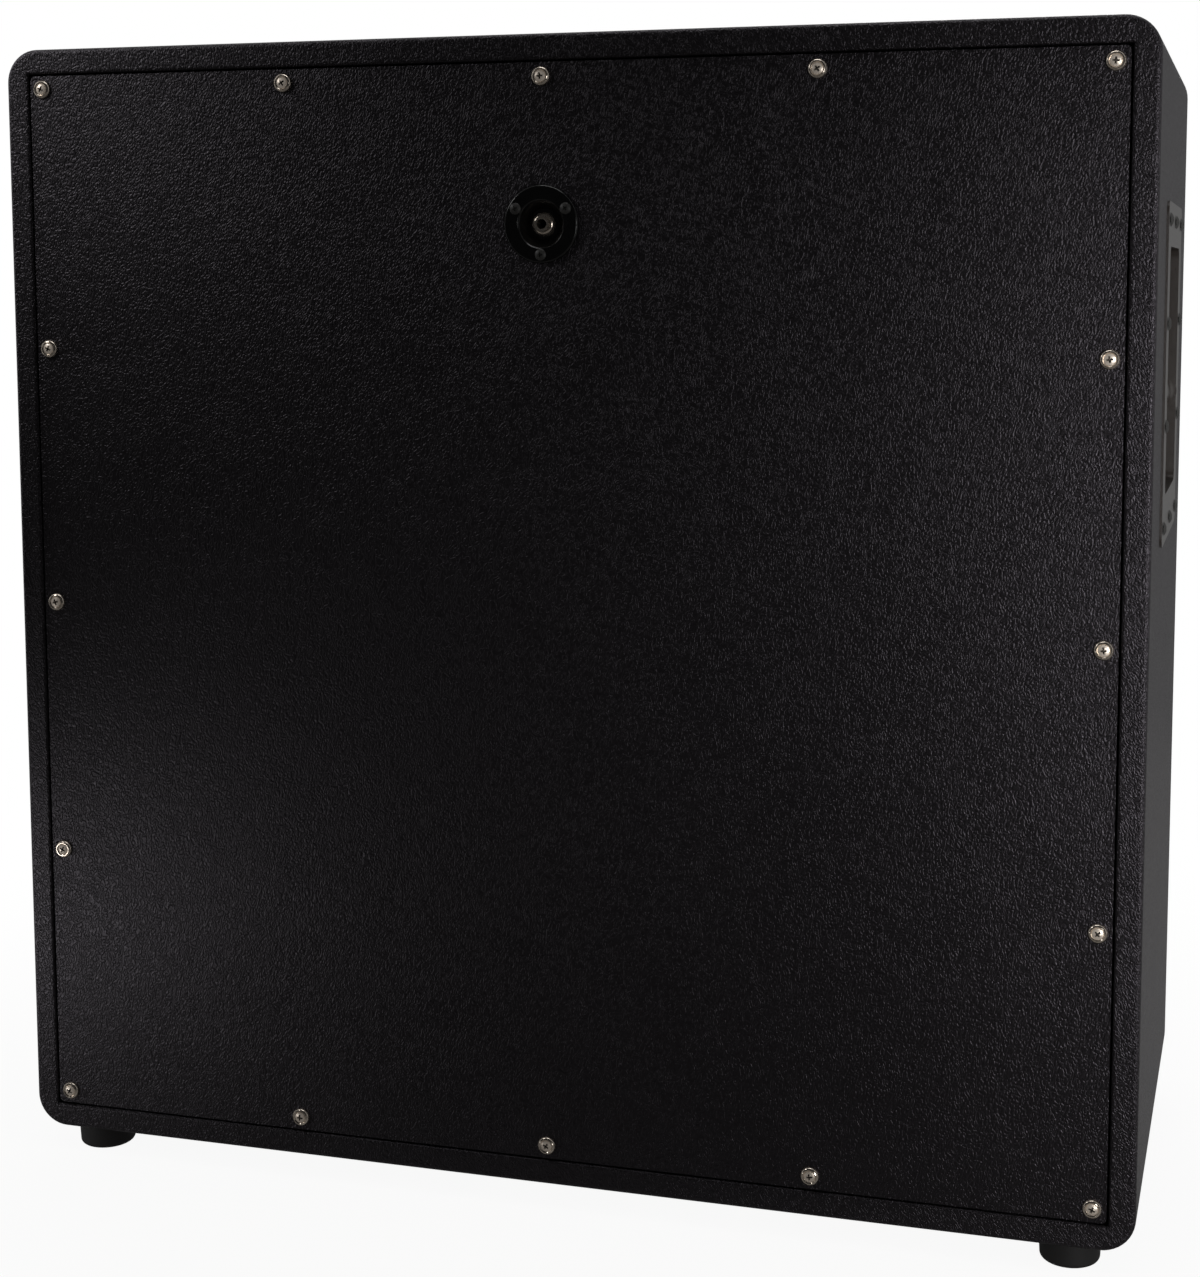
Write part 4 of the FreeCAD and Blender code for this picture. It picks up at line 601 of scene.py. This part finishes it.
def nickel_plate(tool, name, rough, metal):
    """Nickel on steel: a warm grey metal, hazed by handling so that it scatters a share of the light,
    with painted shade darkening its recesses and crevices."""
    material, tree = blank(name)
    place = add(tree, "ShaderNodeTexCoord").outputs["Object"]
    haze = add(tree, "ShaderNodeTexNoise", {"Vector": place, "Scale": 1 / (5 * MM), "Detail": 4.0})
    gloss = add(tree, "ShaderNodeMapRange", {
        "Value": haze.outputs[0], "From Min": 0.3, "From Max": 0.7, "To Min": rough[0], "To Max": rough[1]})
    # Painted shade: where the part's own surfaces close in within 2 mm, its colour turns dark brown.
    painted_shade_occlusion = add(tree, "ShaderNodeAmbientOcclusion", {"Distance": 2 * MM}, samples=8, only_local=True)
    unshaded_share = add(tree, "ShaderNodeMapRange", {"Value": painted_shade_occlusion.outputs["AO"], "From Min": 0.35, "From Max": 0.8})
    shade = add(tree, "ShaderNodeMix", {
        0: unshaded_share.outputs[0], 6: rgba(linear("#1c1815")), 7: rgba(tool.nickel)}, data_type="RGBA")
    shader = add(tree, "ShaderNodeBsdfPrincipled", {
        "Base Color": shade.outputs[2], "Metallic": metal, "Roughness": gloss.outputs[0]})
    add(tree, "ShaderNodeOutputMaterial", {"Surface": shader.outputs[0]})
    return material


def blackened_steel(tool):
    """Black phosphate on steel: a dull charcoal, oiled to a faint sheen on the domes."""
    name = "black_phosphate_steel"
    made = bpy.data.materials.get(name)
    dark = [c * 0.6 for c in tool.blackened]
    return made or mottled(name, dark, tool.blackened, 3 * MM, (0.42, 0.55))


def ray_kinds(tree):
    """Two sockets: whether a ray comes from the camera, and whether off a mirror or through glass."""
    path = add(tree, "ShaderNodeLightPath").outputs
    mirror = add(tree, "ShaderNodeMath", {
        0: path["Is Glossy Ray"], 1: path["Is Transmission Ray"]}, operation="MAXIMUM")
    return path["Is Camera Ray"], mirror.outputs[0]


class CABINET_OT_covering(bpy.types.Operator):
    """Gives the shell and the back panel their grained vinyl"""
    bl_idname = "cabinet.covering"
    bl_label = "Vinyl covering"

    def execute(self, context):
        look = context.scene.cabinet_covering
        shell_lean = -look.lean * 1.5
        finish_nodes(leather_grain_vinyl("leather_grain_vinyl_panel", look, look.lean), "back_covering")
        finish_nodes(leather_grain_vinyl("leather_grain_vinyl_shell", look, shell_lean), "shell_covering")
        return {"FINISHED"}


class CABINET_OT_carcass(bpy.types.Operator):
    """Gives the boards, cleats and post inside the covering their wood"""
    bl_idname = "cabinet.carcass"
    bl_label = "Carcass"

    def execute(self, context):
        birch = (linear("#c9a878"), linear("#a87f50"), 16 * MM)
        upright = sawn_wood("birch_plywood", *birch, (1, 1, 9))
        finish_nodes(upright, "side_panel_left", "side_panel_right", "back_panel", "baffle_board")
        level = sawn_wood("birch_plywood_level", *birch, (9, 1, 1))
        finish_nodes(level, "top_panel", "bottom_panel", "grille_frame")
        pine = sawn_wood("planed_pine", linear("#d7b483"), linear("#b98a55"), 9 * MM, (1, 8, 6))
        finish_nodes(pine, "front_cleats", "centre_post")
        # Painted shade: the rear cleats show only through the gap round the back panel, and their pine is
        # coloured nearly black to stand for the shade in that gap.
        rear_cleat_shade_pine = sawn_wood("black_stained_pine", linear("#1a1715"), linear("#0d0b0a"), 9 * MM, (1, 8, 6))
        finish_nodes(rear_cleat_shade_pine, "rear_cleats")
        # Zinc on steel: pale blue-grey with a crystalline mottle.
        zinc = mottled(
            "zinc_plated_steel", linear("#9aa0a4"), linear("#c3c8ca"), 2 * MM, (0.28, 0.45), metal=1.0)
        finish_nodes(zinc, "baffle_screws")
        return {"FINISHED"}


class CABINET_OT_back_screws(bpy.types.Operator):
    """Sets the sixteen oval-head screws of the back panel in their cup washers"""
    bl_idname = "cabinet.back_screws"
    bl_label = "Back panel screws"

    def execute(self, context):
        tool = context.scene.cabinet_hardware
        finish_nodes(nickel_plate(tool, "bright_nickel_plate", (0.12, 0.2), 0.96), "back_cup_washers")
        nickel = nickel_plate(tool, "satin_nickel_plate", (0.34, 0.44), 0.6)
        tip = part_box("back_panel_screws")[0].y
        low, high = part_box("back_cup_washers")
        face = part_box("back_covering")[1].y
        middle = (low.z + high.z) / 2
        reach = (high.x - tool.cup_radius, high.z - tool.cup_radius - middle)
        edge, r = tool.seat_height, tool.head_radius
        inset, step = 0.97, 0.06 * MM
        profile = shank(tool.shank_radius, face - tip, tool.point) + [(r, edge)]
        profile += arc(r * inset, tool.head_crown, edge + step)
        one = screw("oval_head_screw", profile, edge + tool.head_crown)
        shares = (-1, -0.5, 0, 0.5, 1)
        spots = []
        for a in shares:
            for b in shares:
                if 1 in (abs(a), abs(b)):
                    spots.append(((reach[0] * a, face, middle + reach[1] * b), (0, 1, 0)))
        set_screws("oval_head_screws", one, spots, nickel, tool.seed, "back_panel_screws")
        return {"FINISHED"}


class CABINET_OT_jack(bpy.types.Operator):
    """Finishes the jack with its dish and sets the dish's three screws"""
    bl_idname = "cabinet.jack"
    bl_label = "Jack and dish"

    def execute(self, context):
        tool = context.scene.cabinet_hardware
        finish_nodes(bpy.data.materials["bright_nickel_plate"], "jack_body", "jack_nut")
        # Polished ABS: deep black, mirror-smooth, with crisp thin highlights on its rims.
        gloss = mottled(
            "polished_black_abs", linear("#040404"), linear("#080808"), 12 * MM, (0.14, 0.2), edge=0.9 * MM)
        finish_nodes(gloss, "jack_dish")
        # Paper-filled phenolic: brown-black and faintly mottled.
        phenolic = mottled("paper_phenolic", linear("#2b1c12"), linear("#46301f"), 1.5 * MM, (0.4, 0.6))
        finish_nodes(phenolic, "jack_insulator")
        # Rolled spring brass: yellow, with fine lines along the roll.
        brass = mottled(
            "spring_brass", linear("#a98744"), linear("#d8b56a"), 1 * MM, (0.2, 0.35), metal=1.0,
            stretch=(0.3, 6, 1))
        finish_nodes(brass, "jack_contact")
        low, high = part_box("jack_dish_screws")
        dish_low, dish_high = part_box("jack_dish")
        centre = (dish_low + dish_high) / 2
        seat = dish_high.y
        circle = centre.z - low.z - tool.dish_head
        tall = high.y - seat
        profile = shank(tool.dish_shank, seat - low.y, tool.point)
        profile += dome(tool.dish_head, tall, side=0.2, shoulder=0.25, inset=0.98)
        one = screw("dish_screw", profile, tall)
        spots = []
        for angle in (30, 150, 270):
            turn = math.radians(angle)
            place = (centre.x + circle * math.cos(turn), seat, centre.z + circle * math.sin(turn))
            spots.append((place, (0, 1, 0)))
        black = blackened_steel(tool)
        set_screws("dish_screws", one, spots, black, tool.seed + 1, "jack_dish_screws")
        return {"FINISHED"}


class CABINET_OT_handles(bpy.types.Operator):
    """Finishes the two side handles and sets their twenty domed screws"""
    bl_idname = "cabinet.handles"
    bl_label = "Side handles"

    def execute(self, context):
        tool = context.scene.cabinet_hardware
        # Baked enamel on steel: satin black with a faint orange peel.
        dark = [c * 0.8 for c in tool.enamel]
        enamel = mottled(
            "baked_black_enamel", dark, tool.enamel, 1.6 * MM, (0.27, 0.36), relief=0.012 * MM)
        finish_nodes(enamel, "side_handle_left", "side_handle_right")
        low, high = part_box("handle_screws")
        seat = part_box("side_handle_right")[1].x
        tall = high.x - seat
        r = tool.dome_radius
        middle = (low.z + high.z) / 2
        column, row = high.y - r, high.z - r - middle
        profile = shank(tool.shank_radius, tool.handle_bite, tool.point)
        profile += dome(r, tall, side=0.12, shoulder=0.15, inset=0.985)
        one = screw("domed_screw", profile, tall)
        spots = []
        for side in (-1, 1):
            for b in (-1, -1 / 3, 1 / 3, 1):
                for a in (-1, 0, 1):
                    if a or abs(b) == 1:
                        spots.append(((seat * side, column * a, middle + row * b), (side, 0, 0)))
        black = blackened_steel(tool)
        set_screws("domed_screws", one, spots, black, tool.seed + 2, "handle_screws")
        return {"FINISHED"}


class CABINET_OT_feet(bpy.types.Operator):
    """Finishes the rubber feet and sets the screw in each one's well"""
    bl_idname = "cabinet.feet"
    bl_label = "Feet"

    def execute(self, context):
        tool = context.scene.cabinet_hardware
        # Moulded rubber: black, dull and dusty, with a fine sparked texture.
        dark, light = [c * 0.7 for c in tool.rubber], [c * 1.5 for c in tool.rubber]
        rubber = mottled("moulded_rubber", dark, light, 0.9 * MM, (0.6, 0.75), relief=0.03 * MM)
        names = ["foot_%s_%s" % (end, side) for end in ("front", "rear") for side in ("left", "right")]
        finish_nodes(rubber, *names)
        low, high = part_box("foot_screws")
        head, tall = tool.foot_head, tool.foot_rise
        profile = shank(tool.foot_shank, high.z - low.z - tall, tool.point)
        profile += dome(head, tall, side=0.4, shoulder=0.45, inset=0.97)
        one = screw("foot_screw", profile, tall)
        x, y = high.x - head, high.y - head
        spots = [((x * a, y * b, low.z + tall), (0, 0, -1)) for a in (-1, 1) for b in (-1, 1)]
        zinc = bpy.data.materials["zinc_plated_steel"]
        set_screws("foot_pan_screws", one, spots, zinc, tool.seed + 3, "foot_screws")
        return {"FINISHED"}


class CABINET_OT_grille(bpy.types.Operator):
    """Stretches the grille cloth over its frame and turns it in behind"""
    bl_idname = "cabinet.grille"
    bl_label = "Grille"

    def wrapped_sheet(self, look, low, high):
        """One sheet over the frame's front, round its edges and in behind, with its flat pattern as UV map.
        Gives the mesh, its area and its width and height when laid flat."""
        middle = (low.z + high.z) / 2
        half = Vector((high.x, 0, high.z - middle))
        r, steps, bends = look.fold, 48, 4
        shares = [2 * k / steps - 1 for k in range(steps + 1)]
        shape = bmesh.new()
        sheet_uv = {}
        front = {}
        for a in shares:
            for b in shares:
                back = look.sag * math.sin(math.pi * a) ** 2 * math.sin(math.pi * b) ** 2
                x, z = a * (half.x - r), b * (half.z - r)
                front[a, b] = shape.verts.new((x, low.y + back, middle + z))
                sheet_uv[front[a, b]] = (x, z)
        for a, a_next in zip(shares, shares[1:]):
            for b, b_next in zip(shares, shares[1:]):
                shape.faces.new((front[a, b], front[a_next, b], front[a_next, b_next], front[a, b_next]))
        around = [(a, -1.0) for a in shares[:-1]] + [(1.0, b) for b in shares[:-1]]
        around += [(a, 1.0) for a in reversed(shares[1:])] + [(-1.0, b) for b in reversed(shares[1:])]
        path = []
        for k in range(1, bends + 1):
            turn = math.pi / 2 * k / bends
            path.append((r - r * math.sin(turn), low.y + r - r * math.cos(turn)))
        for k in range(bends + 1):
            turn = math.pi / 2 * k / bends
            path.append((r - r * math.cos(turn), high.y - r + r * math.sin(turn)))
        path += [(look.turn_in / 2, high.y), (look.turn_in, high.y)]
        ring = [front[spot] for spot in around]
        run = 0.0
        at = (r, low.y)
        for inset, depth in path:
            run += math.hypot(inset - at[0], depth - at[1])
            at = (inset, depth)
            after = []
            for a, b in around:
                vertex = shape.verts.new((a * (half.x - inset), depth, middle + b * (half.z - inset)))
                u = a * (half.x - r) + (run * a if abs(a) == 1 else 0)
                v = b * (half.z - r) + (run * b if abs(b) == 1 else 0)
                sheet_uv[vertex] = (u, v)
                after.append(vertex)
            for k in range(len(ring)):
                n = (k + 1) % len(ring)
                shape.faces.new((ring[n], ring[k], after[k], after[n]))
            ring = after
        layer = shape.loops.layers.uv.new("cloth")
        for face in shape.faces:
            for corner in face.loops:
                corner[layer].uv = sheet_uv[corner.vert]
        area = sum(face.calc_area() for face in shape.faces)
        mesh = bpy.data.meshes.new("grille_cloth_sheet")
        shape.to_mesh(mesh)
        shape.free()
        return mesh, area, [2 * (side - r + run) for side in (half.x, half.z)]

    def execute(self, context):
        look = context.scene.cabinet_grille
        mesh, area, cut = self.wrapped_sheet(look, *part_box("grille_cloth"))
        cloth = piece_from("grille_cloth_sheet", mesh, woven_grille_cloth(look))
        thick = cloth.modifiers.new("thickness", "SOLIDIFY")
        thick.thickness, thick.offset = look.thick, -1
        made = plain_mesh(cloth)
        cloth.modifiers.clear()
        cloth.data = made
        smooth(made, 60)
        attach(cloth, CABINET)
        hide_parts("grille_cloth")
        # Woven nylon hook tape: black, with a coarse nap.
        hooks = mottled(
            "nylon_hook_tape", linear("#0c0c0c"), linear("#262525"), 0.8 * MM, (0.6, 0.9), relief=0.3 * MM)
        finish_nodes(hooks, "grille_hook_pads")
        return {"FINISHED"}


class CABINET_OT_drivers(bpy.types.Operator):
    """Finishes the four drivers and makes the pleated cloth rings that flex with their cones"""
    bl_idname = "cabinet.drivers"
    bl_label = "Drivers"

    def pleated_ring(self, name, node, axis, radii, waves, thick, level, body, cloth):
        """A thin ring with round pleats between its two flat lips.
        Its inner lip follows the cone, its outer lip stays, and the pleats share out the motion."""
        inner, first, last, outer = radii
        steepness, steps = 0.25, 8
        rise = steepness * (last - first) / waves
        front = [(inner, 0.0), (first, 0.0)]
        count = waves * steps
        for k in range(1, count):
            front.append((first + (last - first) * k / count, rise * math.sin(math.pi * waves * k / count)))
        front += [(last, 0.0), (outer, 0.0)]
        loop = front + [(r, h + thick) for r, h in reversed(front)]
        mesh = lathe(name, loop, steps=96, closed=True)
        for vertex in mesh.vertices:
            x, y, h = vertex.co
            vertex.co = (axis.x + x, level + h, axis.z - y)
        ring = piece_from(name, mesh, cloth)
        smooth(mesh, 60)
        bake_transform(ring, CABINET, body, start=(axis.x, level, axis.z), end=(axis.x, level + thick, axis.z))
        weights = mesh.attributes["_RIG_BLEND"].data
        for vertex, weight in zip(mesh.vertices, weights):
            reach = math.hypot(vertex.co.x - axis.x, vertex.co.z - axis.z)
            share = min(1.0, max(0.0, (last - reach) / (last - first)))
            weight.value = share * share * (3 - 2 * share)
        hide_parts(node)

    def execute(self, context):
        ring = context.scene.cabinet_drivers
        # Resin-treated cotton: brown-black, dull, with a fine weave.
        cloth = mottled(
            "resin_treated_cloth", linear("#1a1612"), linear("#3a3129"), 0.7 * MM, (0.6, 0.8),
            relief=0.1 * MM)
        # Moulded pulp: charcoal paper with long fibres.
        pulp = mottled(
            "moulded_paper_pulp", linear("#1d1c1b"), linear("#35322f"), 2.5 * MM, (0.75, 0.9),
            relief=0.15 * MM, stretch=(1, 1, 2.2))
        # Pressed steel with black stove paint: even and half-glossy.
        paint = mottled(
            "stove_painted_steel", linear("#141414"), linear("#1f1f1f"), 3 * MM, (0.35, 0.5),
            relief=0.02 * MM)
        # Sintered ferrite: matt charcoal with a faint grit.
        ferrite = mottled(
            "sintered_ferrite", linear("#26262a"), linear("#3b3b40"), 1.2 * MM, (0.6, 0.8), relief=0.04 * MM)
        # Granulated cork: tan crumbs of many shades.
        cork = mottled(
            "granulated_cork", linear("#6d4a2c"), linear("#b98c5c"), 2.2 * MM, (0.8, 0.95), relief=0.15 * MM)
        # Enamelled copper wire: red-brown and glossy, in fine turns along the axis.
        copper = mottled(
            "enamelled_copper", linear("#7a3a1a"), linear("#b8683a"), 2 * MM, (0.2, 0.35), metal=1.0,
            stretch=(3, 0.15, 3))
        # Soft PVC sleeve: dark, smooth and slightly waxy.
        sleeve = mottled("pvc_wire_sleeve", linear("#151313"), linear("#241f1f"), 5 * MM, (0.38, 0.5))
        zinc = bpy.data.materials["zinc_plated_steel"]
        finish_nodes(paint, "speaker_baskets")
        finish_nodes(cork, "speaker_gaskets")
        finish_nodes(ferrite, "speaker_magnets")
        finish_nodes(zinc, "speaker_top_plates", "speaker_yokes", "speaker_bolts", "speaker_tee_nuts")
        finish_nodes(bpy.data.materials["paper_phenolic"], "speaker_terminals")
        finish_nodes(sleeve, "speaker_wires")
        for driver in DRIVERS:
            body = "cone_assembly_" + driver
            finish_nodes(pulp, "cone_" + driver, "dust_cap_" + driver)
            finish_nodes(copper, "voice_coil_" + driver)
            cone_low, cone_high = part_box("cone_" + driver)
            axis = (cone_low + cone_high) / 2
            rim = (cone_high.x - cone_low.x) / 2
            coil_low, coil_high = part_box("voice_coil_" + driver)
            coil = (coil_high.x - coil_low.x) / 2
            low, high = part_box("surround_" + driver)
            outer = (high.x - low.x) / 2
            radii = (rim - ring.surround_lip, rim, outer - ring.surround_flange, outer)
            level = cone_low.y - ring.surround_thick
            self.pleated_ring(
                "surround_ring_" + driver, "surround_" + driver, axis, radii, ring.surround_waves,
                ring.surround_thick, level, body, cloth)
            low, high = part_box("spider_" + driver)
            outer = (high.x - low.x) / 2
            radii = (coil - ring.spider_grip, coil + ring.spider_collar, outer - ring.spider_flange, outer)
            level = (low.y + high.y - ring.spider_thick) / 2
            self.pleated_ring(
                "spider_ring_" + driver, "spider_" + driver, axis, radii, ring.spider_waves,
                ring.spider_thick, level, body, cloth)
        return {"FINISHED"}


class CABINET_OT_stage(bpy.types.Operator):
    """Sets up the pale floor, the soft lights, the plain backdrop and the camera"""
    bl_idname = "cabinet.stage"
    bl_label = "Stage"

    def floor(self, stage):
        """A pale disc that fades to the white of the backdrop with distance and keeps a faint shadow.
        Reflections see it dimmed, and from below it is clear."""
        shape = bmesh.new()
        bmesh.ops.create_circle(shape, cap_ends=True, segments=96, radius=stage.floor_radius)
        mesh = bpy.data.meshes.new("floor")
        shape.to_mesh(mesh)
        shape.free()
        material, tree = blank("pale_floor")
        place = add(tree, "ShaderNodeTexCoord").outputs["Object"]
        away = add(tree, "ShaderNodeVectorMath", {0: place}, operation="LENGTH")
        fade = add(tree, "ShaderNodeMapRange", {
            "Value": away.outputs["Value"], "From Min": 0.35, "From Max": 0.95, "To Min": 0.93,
            "To Max": 1.0}, interpolation_type="SMOOTHSTEP")
        way = add(tree, "ShaderNodeSeparateXYZ", {0: place})
        behind = add(tree, "ShaderNodeMapRange", {
            "Value": way.outputs["Y"], "From Min": 0.35, "From Max": -0.05, "To Max": stage.mirrored},
            interpolation_type="SMOOTHSTEP")
        eye, mirror = ray_kinds(tree)
        back = add(tree, "ShaderNodeMath", {0: mirror, 1: behind.outputs[0]}, operation="MULTIPLY")
        seen = add(tree, "ShaderNodeMath", {0: eye, 1: fade.outputs[0]}, operation="MULTIPLY")
        share = add(tree, "ShaderNodeMath", {0: seen.outputs[0], 1: back.outputs[0]}, operation="MAXIMUM")
        pale = add(tree, "ShaderNodeMix", {
            0: eye, 6: rgba(linear("#6b6967")), 7: rgba(linear("#efeeec"))}, data_type="RGBA")
        dull = add(tree, "ShaderNodeBsdfDiffuse", {"Color": pale.outputs[2]})
        white = add(tree, "ShaderNodeEmission", {"Color": (1, 1, 1, 1), "Strength": 1.0})
        mixed = add(tree, "ShaderNodeMixShader", {
            0: share.outputs[0], 1: dull.outputs[0], 2: white.outputs[0]})
        under = add(tree, "ShaderNodeNewGeometry").outputs["Backfacing"]
        clear = add(tree, "ShaderNodeBsdfTransparent")
        sided = add(tree, "ShaderNodeMixShader", {0: under, 1: mixed.outputs[0], 2: clear.outputs[0]})
        add(tree, "ShaderNodeOutputMaterial", {"Surface": sided.outputs[0]})
        disc = piece_from("floor", mesh, material)
        disc.location.z = -stage.floor_drop

    def backdrop(self, scene, room, mirrored):
        """White for the eye. Reflections see it dimmed by direction: nearly dark on the camera's side, bright
        to the sides and dim behind the cabinet. All other light comes from a plain room."""
        world = bpy.data.worlds.new("white_backdrop")
        world.use_nodes = True
        tree = world.node_tree
        tree.nodes.clear()
        way = add(tree, "ShaderNodeSeparateXYZ", {0: add(tree, "ShaderNodeTexCoord").outputs["Generated"]})
        beside = add(tree, "ShaderNodeMapRange", {
            "Value": way.outputs["Y"], "From Min": 0.25, "From Max": -0.05, "To Min": 0.012, "To Max": 0.75},
            interpolation_type="SMOOTHSTEP")
        behind = add(tree, "ShaderNodeMapRange", {
            "Value": way.outputs["Y"], "From Min": -0.3, "From Max": -0.8}, interpolation_type="SMOOTHSTEP")
        glow = add(tree, "ShaderNodeMix", {0: behind.outputs[0], 2: beside.outputs[0], 3: mirrored})
        eye, mirror = ray_kinds(tree)
        other = add(tree, "ShaderNodeMix", {0: mirror, 2: room, 3: glow.outputs[0]})
        level = add(tree, "ShaderNodeMix", {0: eye, 2: other.outputs[0], 3: 1.0})
        light = add(tree, "ShaderNodeBackground", {"Color": (1, 1, 1, 1), "Strength": level.outputs[0]})
        add(tree, "ShaderNodeOutputWorld", {"Surface": light.outputs[0]})
        world.cycles.sampling_method = "NONE"
        scene.world = world

    def softbox(self, scene, name, power, place, aim, wide, tall, beam):
        """A rectangular area light that looks from one place to another, its beam in degrees."""
        lamp = bpy.data.lights.new(name, "AREA")
        lamp.shape, lamp.size, lamp.size_y, lamp.energy = "RECTANGLE", wide, tall, power
        lamp.spread = math.radians(beam)
        light = bpy.data.objects.new(name, lamp)
        light.location = place
        light.visible_camera = False
        light.rotation_euler = (Vector(aim) - Vector(place)).to_track_quat("-Z", "Y").to_euler()
        scene.collection.objects.link(light)

    def execute(self, context):
        scene, stage = context.scene, context.scene.cabinet_stage
        scene.view_settings.view_transform = "Standard"
        self.floor(stage)
        self.backdrop(scene, stage.room, stage.mirrored)
        for name, setting in SOFTBOXES.items():
            self.softbox(scene, name + "_softbox", getattr(stage, name), *setting)
        data = bpy.data.cameras.new("camera")
        data.lens, data.sensor_width = stage.lens, 36.0
        data.shift_x, data.shift_y = stage.shift
        camera = bpy.data.objects.new("camera", data)
        camera.location, camera.rotation_euler = stage.stand, stage.aim
        scene.collection.objects.link(camera)
        scene.camera = camera
        return {"FINISHED"}


class CABINET_PT_finish(bpy.types.Panel):
    """The cabinet's finishes, hardware and stage"""
    bl_idname = "CABINET_PT_finish"
    bl_label = "Speaker Cabinet"
    bl_space_type = "VIEW_3D"
    bl_region_type = "UI"
    bl_category = "Cabinet"

    def draw(self, context):
        for kind in OPERATORS:
            self.layout.operator(kind.bl_idname)
        for key in GROUPS:
            group = getattr(context.scene, key)
            box = self.layout.box()
            for name in group.bl_rna.properties.keys():
                if name not in ("rna_type", "name"):
                    box.prop(group, name)


GROUPS = {
    "cabinet_covering": CABINET_PG_covering,
    "cabinet_hardware": CABINET_PG_hardware,
    "cabinet_grille": CABINET_PG_grille,
    "cabinet_drivers": CABINET_PG_drivers,
    "cabinet_stage": CABINET_PG_stage,
}
OPERATORS = (
    CABINET_OT_covering, CABINET_OT_carcass, CABINET_OT_back_screws, CABINET_OT_jack, CABINET_OT_handles,
    CABINET_OT_feet, CABINET_OT_grille, CABINET_OT_drivers, CABINET_OT_stage,
)


def register():
    for kind in (*GROUPS.values(), *OPERATORS, CABINET_PT_finish):
        bpy.utils.register_class(kind)
    for key, kind in GROUPS.items():
        setattr(bpy.types.Scene, key, PointerProperty(type=kind))


def unregister():
    for key in GROUPS:
        delattr(bpy.types.Scene, key)
    for kind in (CABINET_PT_finish, *reversed(OPERATORS), *reversed(GROUPS.values())):
        bpy.utils.unregister_class(kind)


def main():
    register()
    bpy.ops.cabinet.covering()
    bpy.ops.cabinet.carcass()
    bpy.ops.cabinet.back_screws()
    bpy.ops.cabinet.jack()
    bpy.ops.cabinet.handles()
    bpy.ops.cabinet.feet()
    bpy.ops.cabinet.grille()
    bpy.ops.cabinet.drivers()
    bpy.ops.cabinet.stage()


if __name__ == "__main__":
    main()
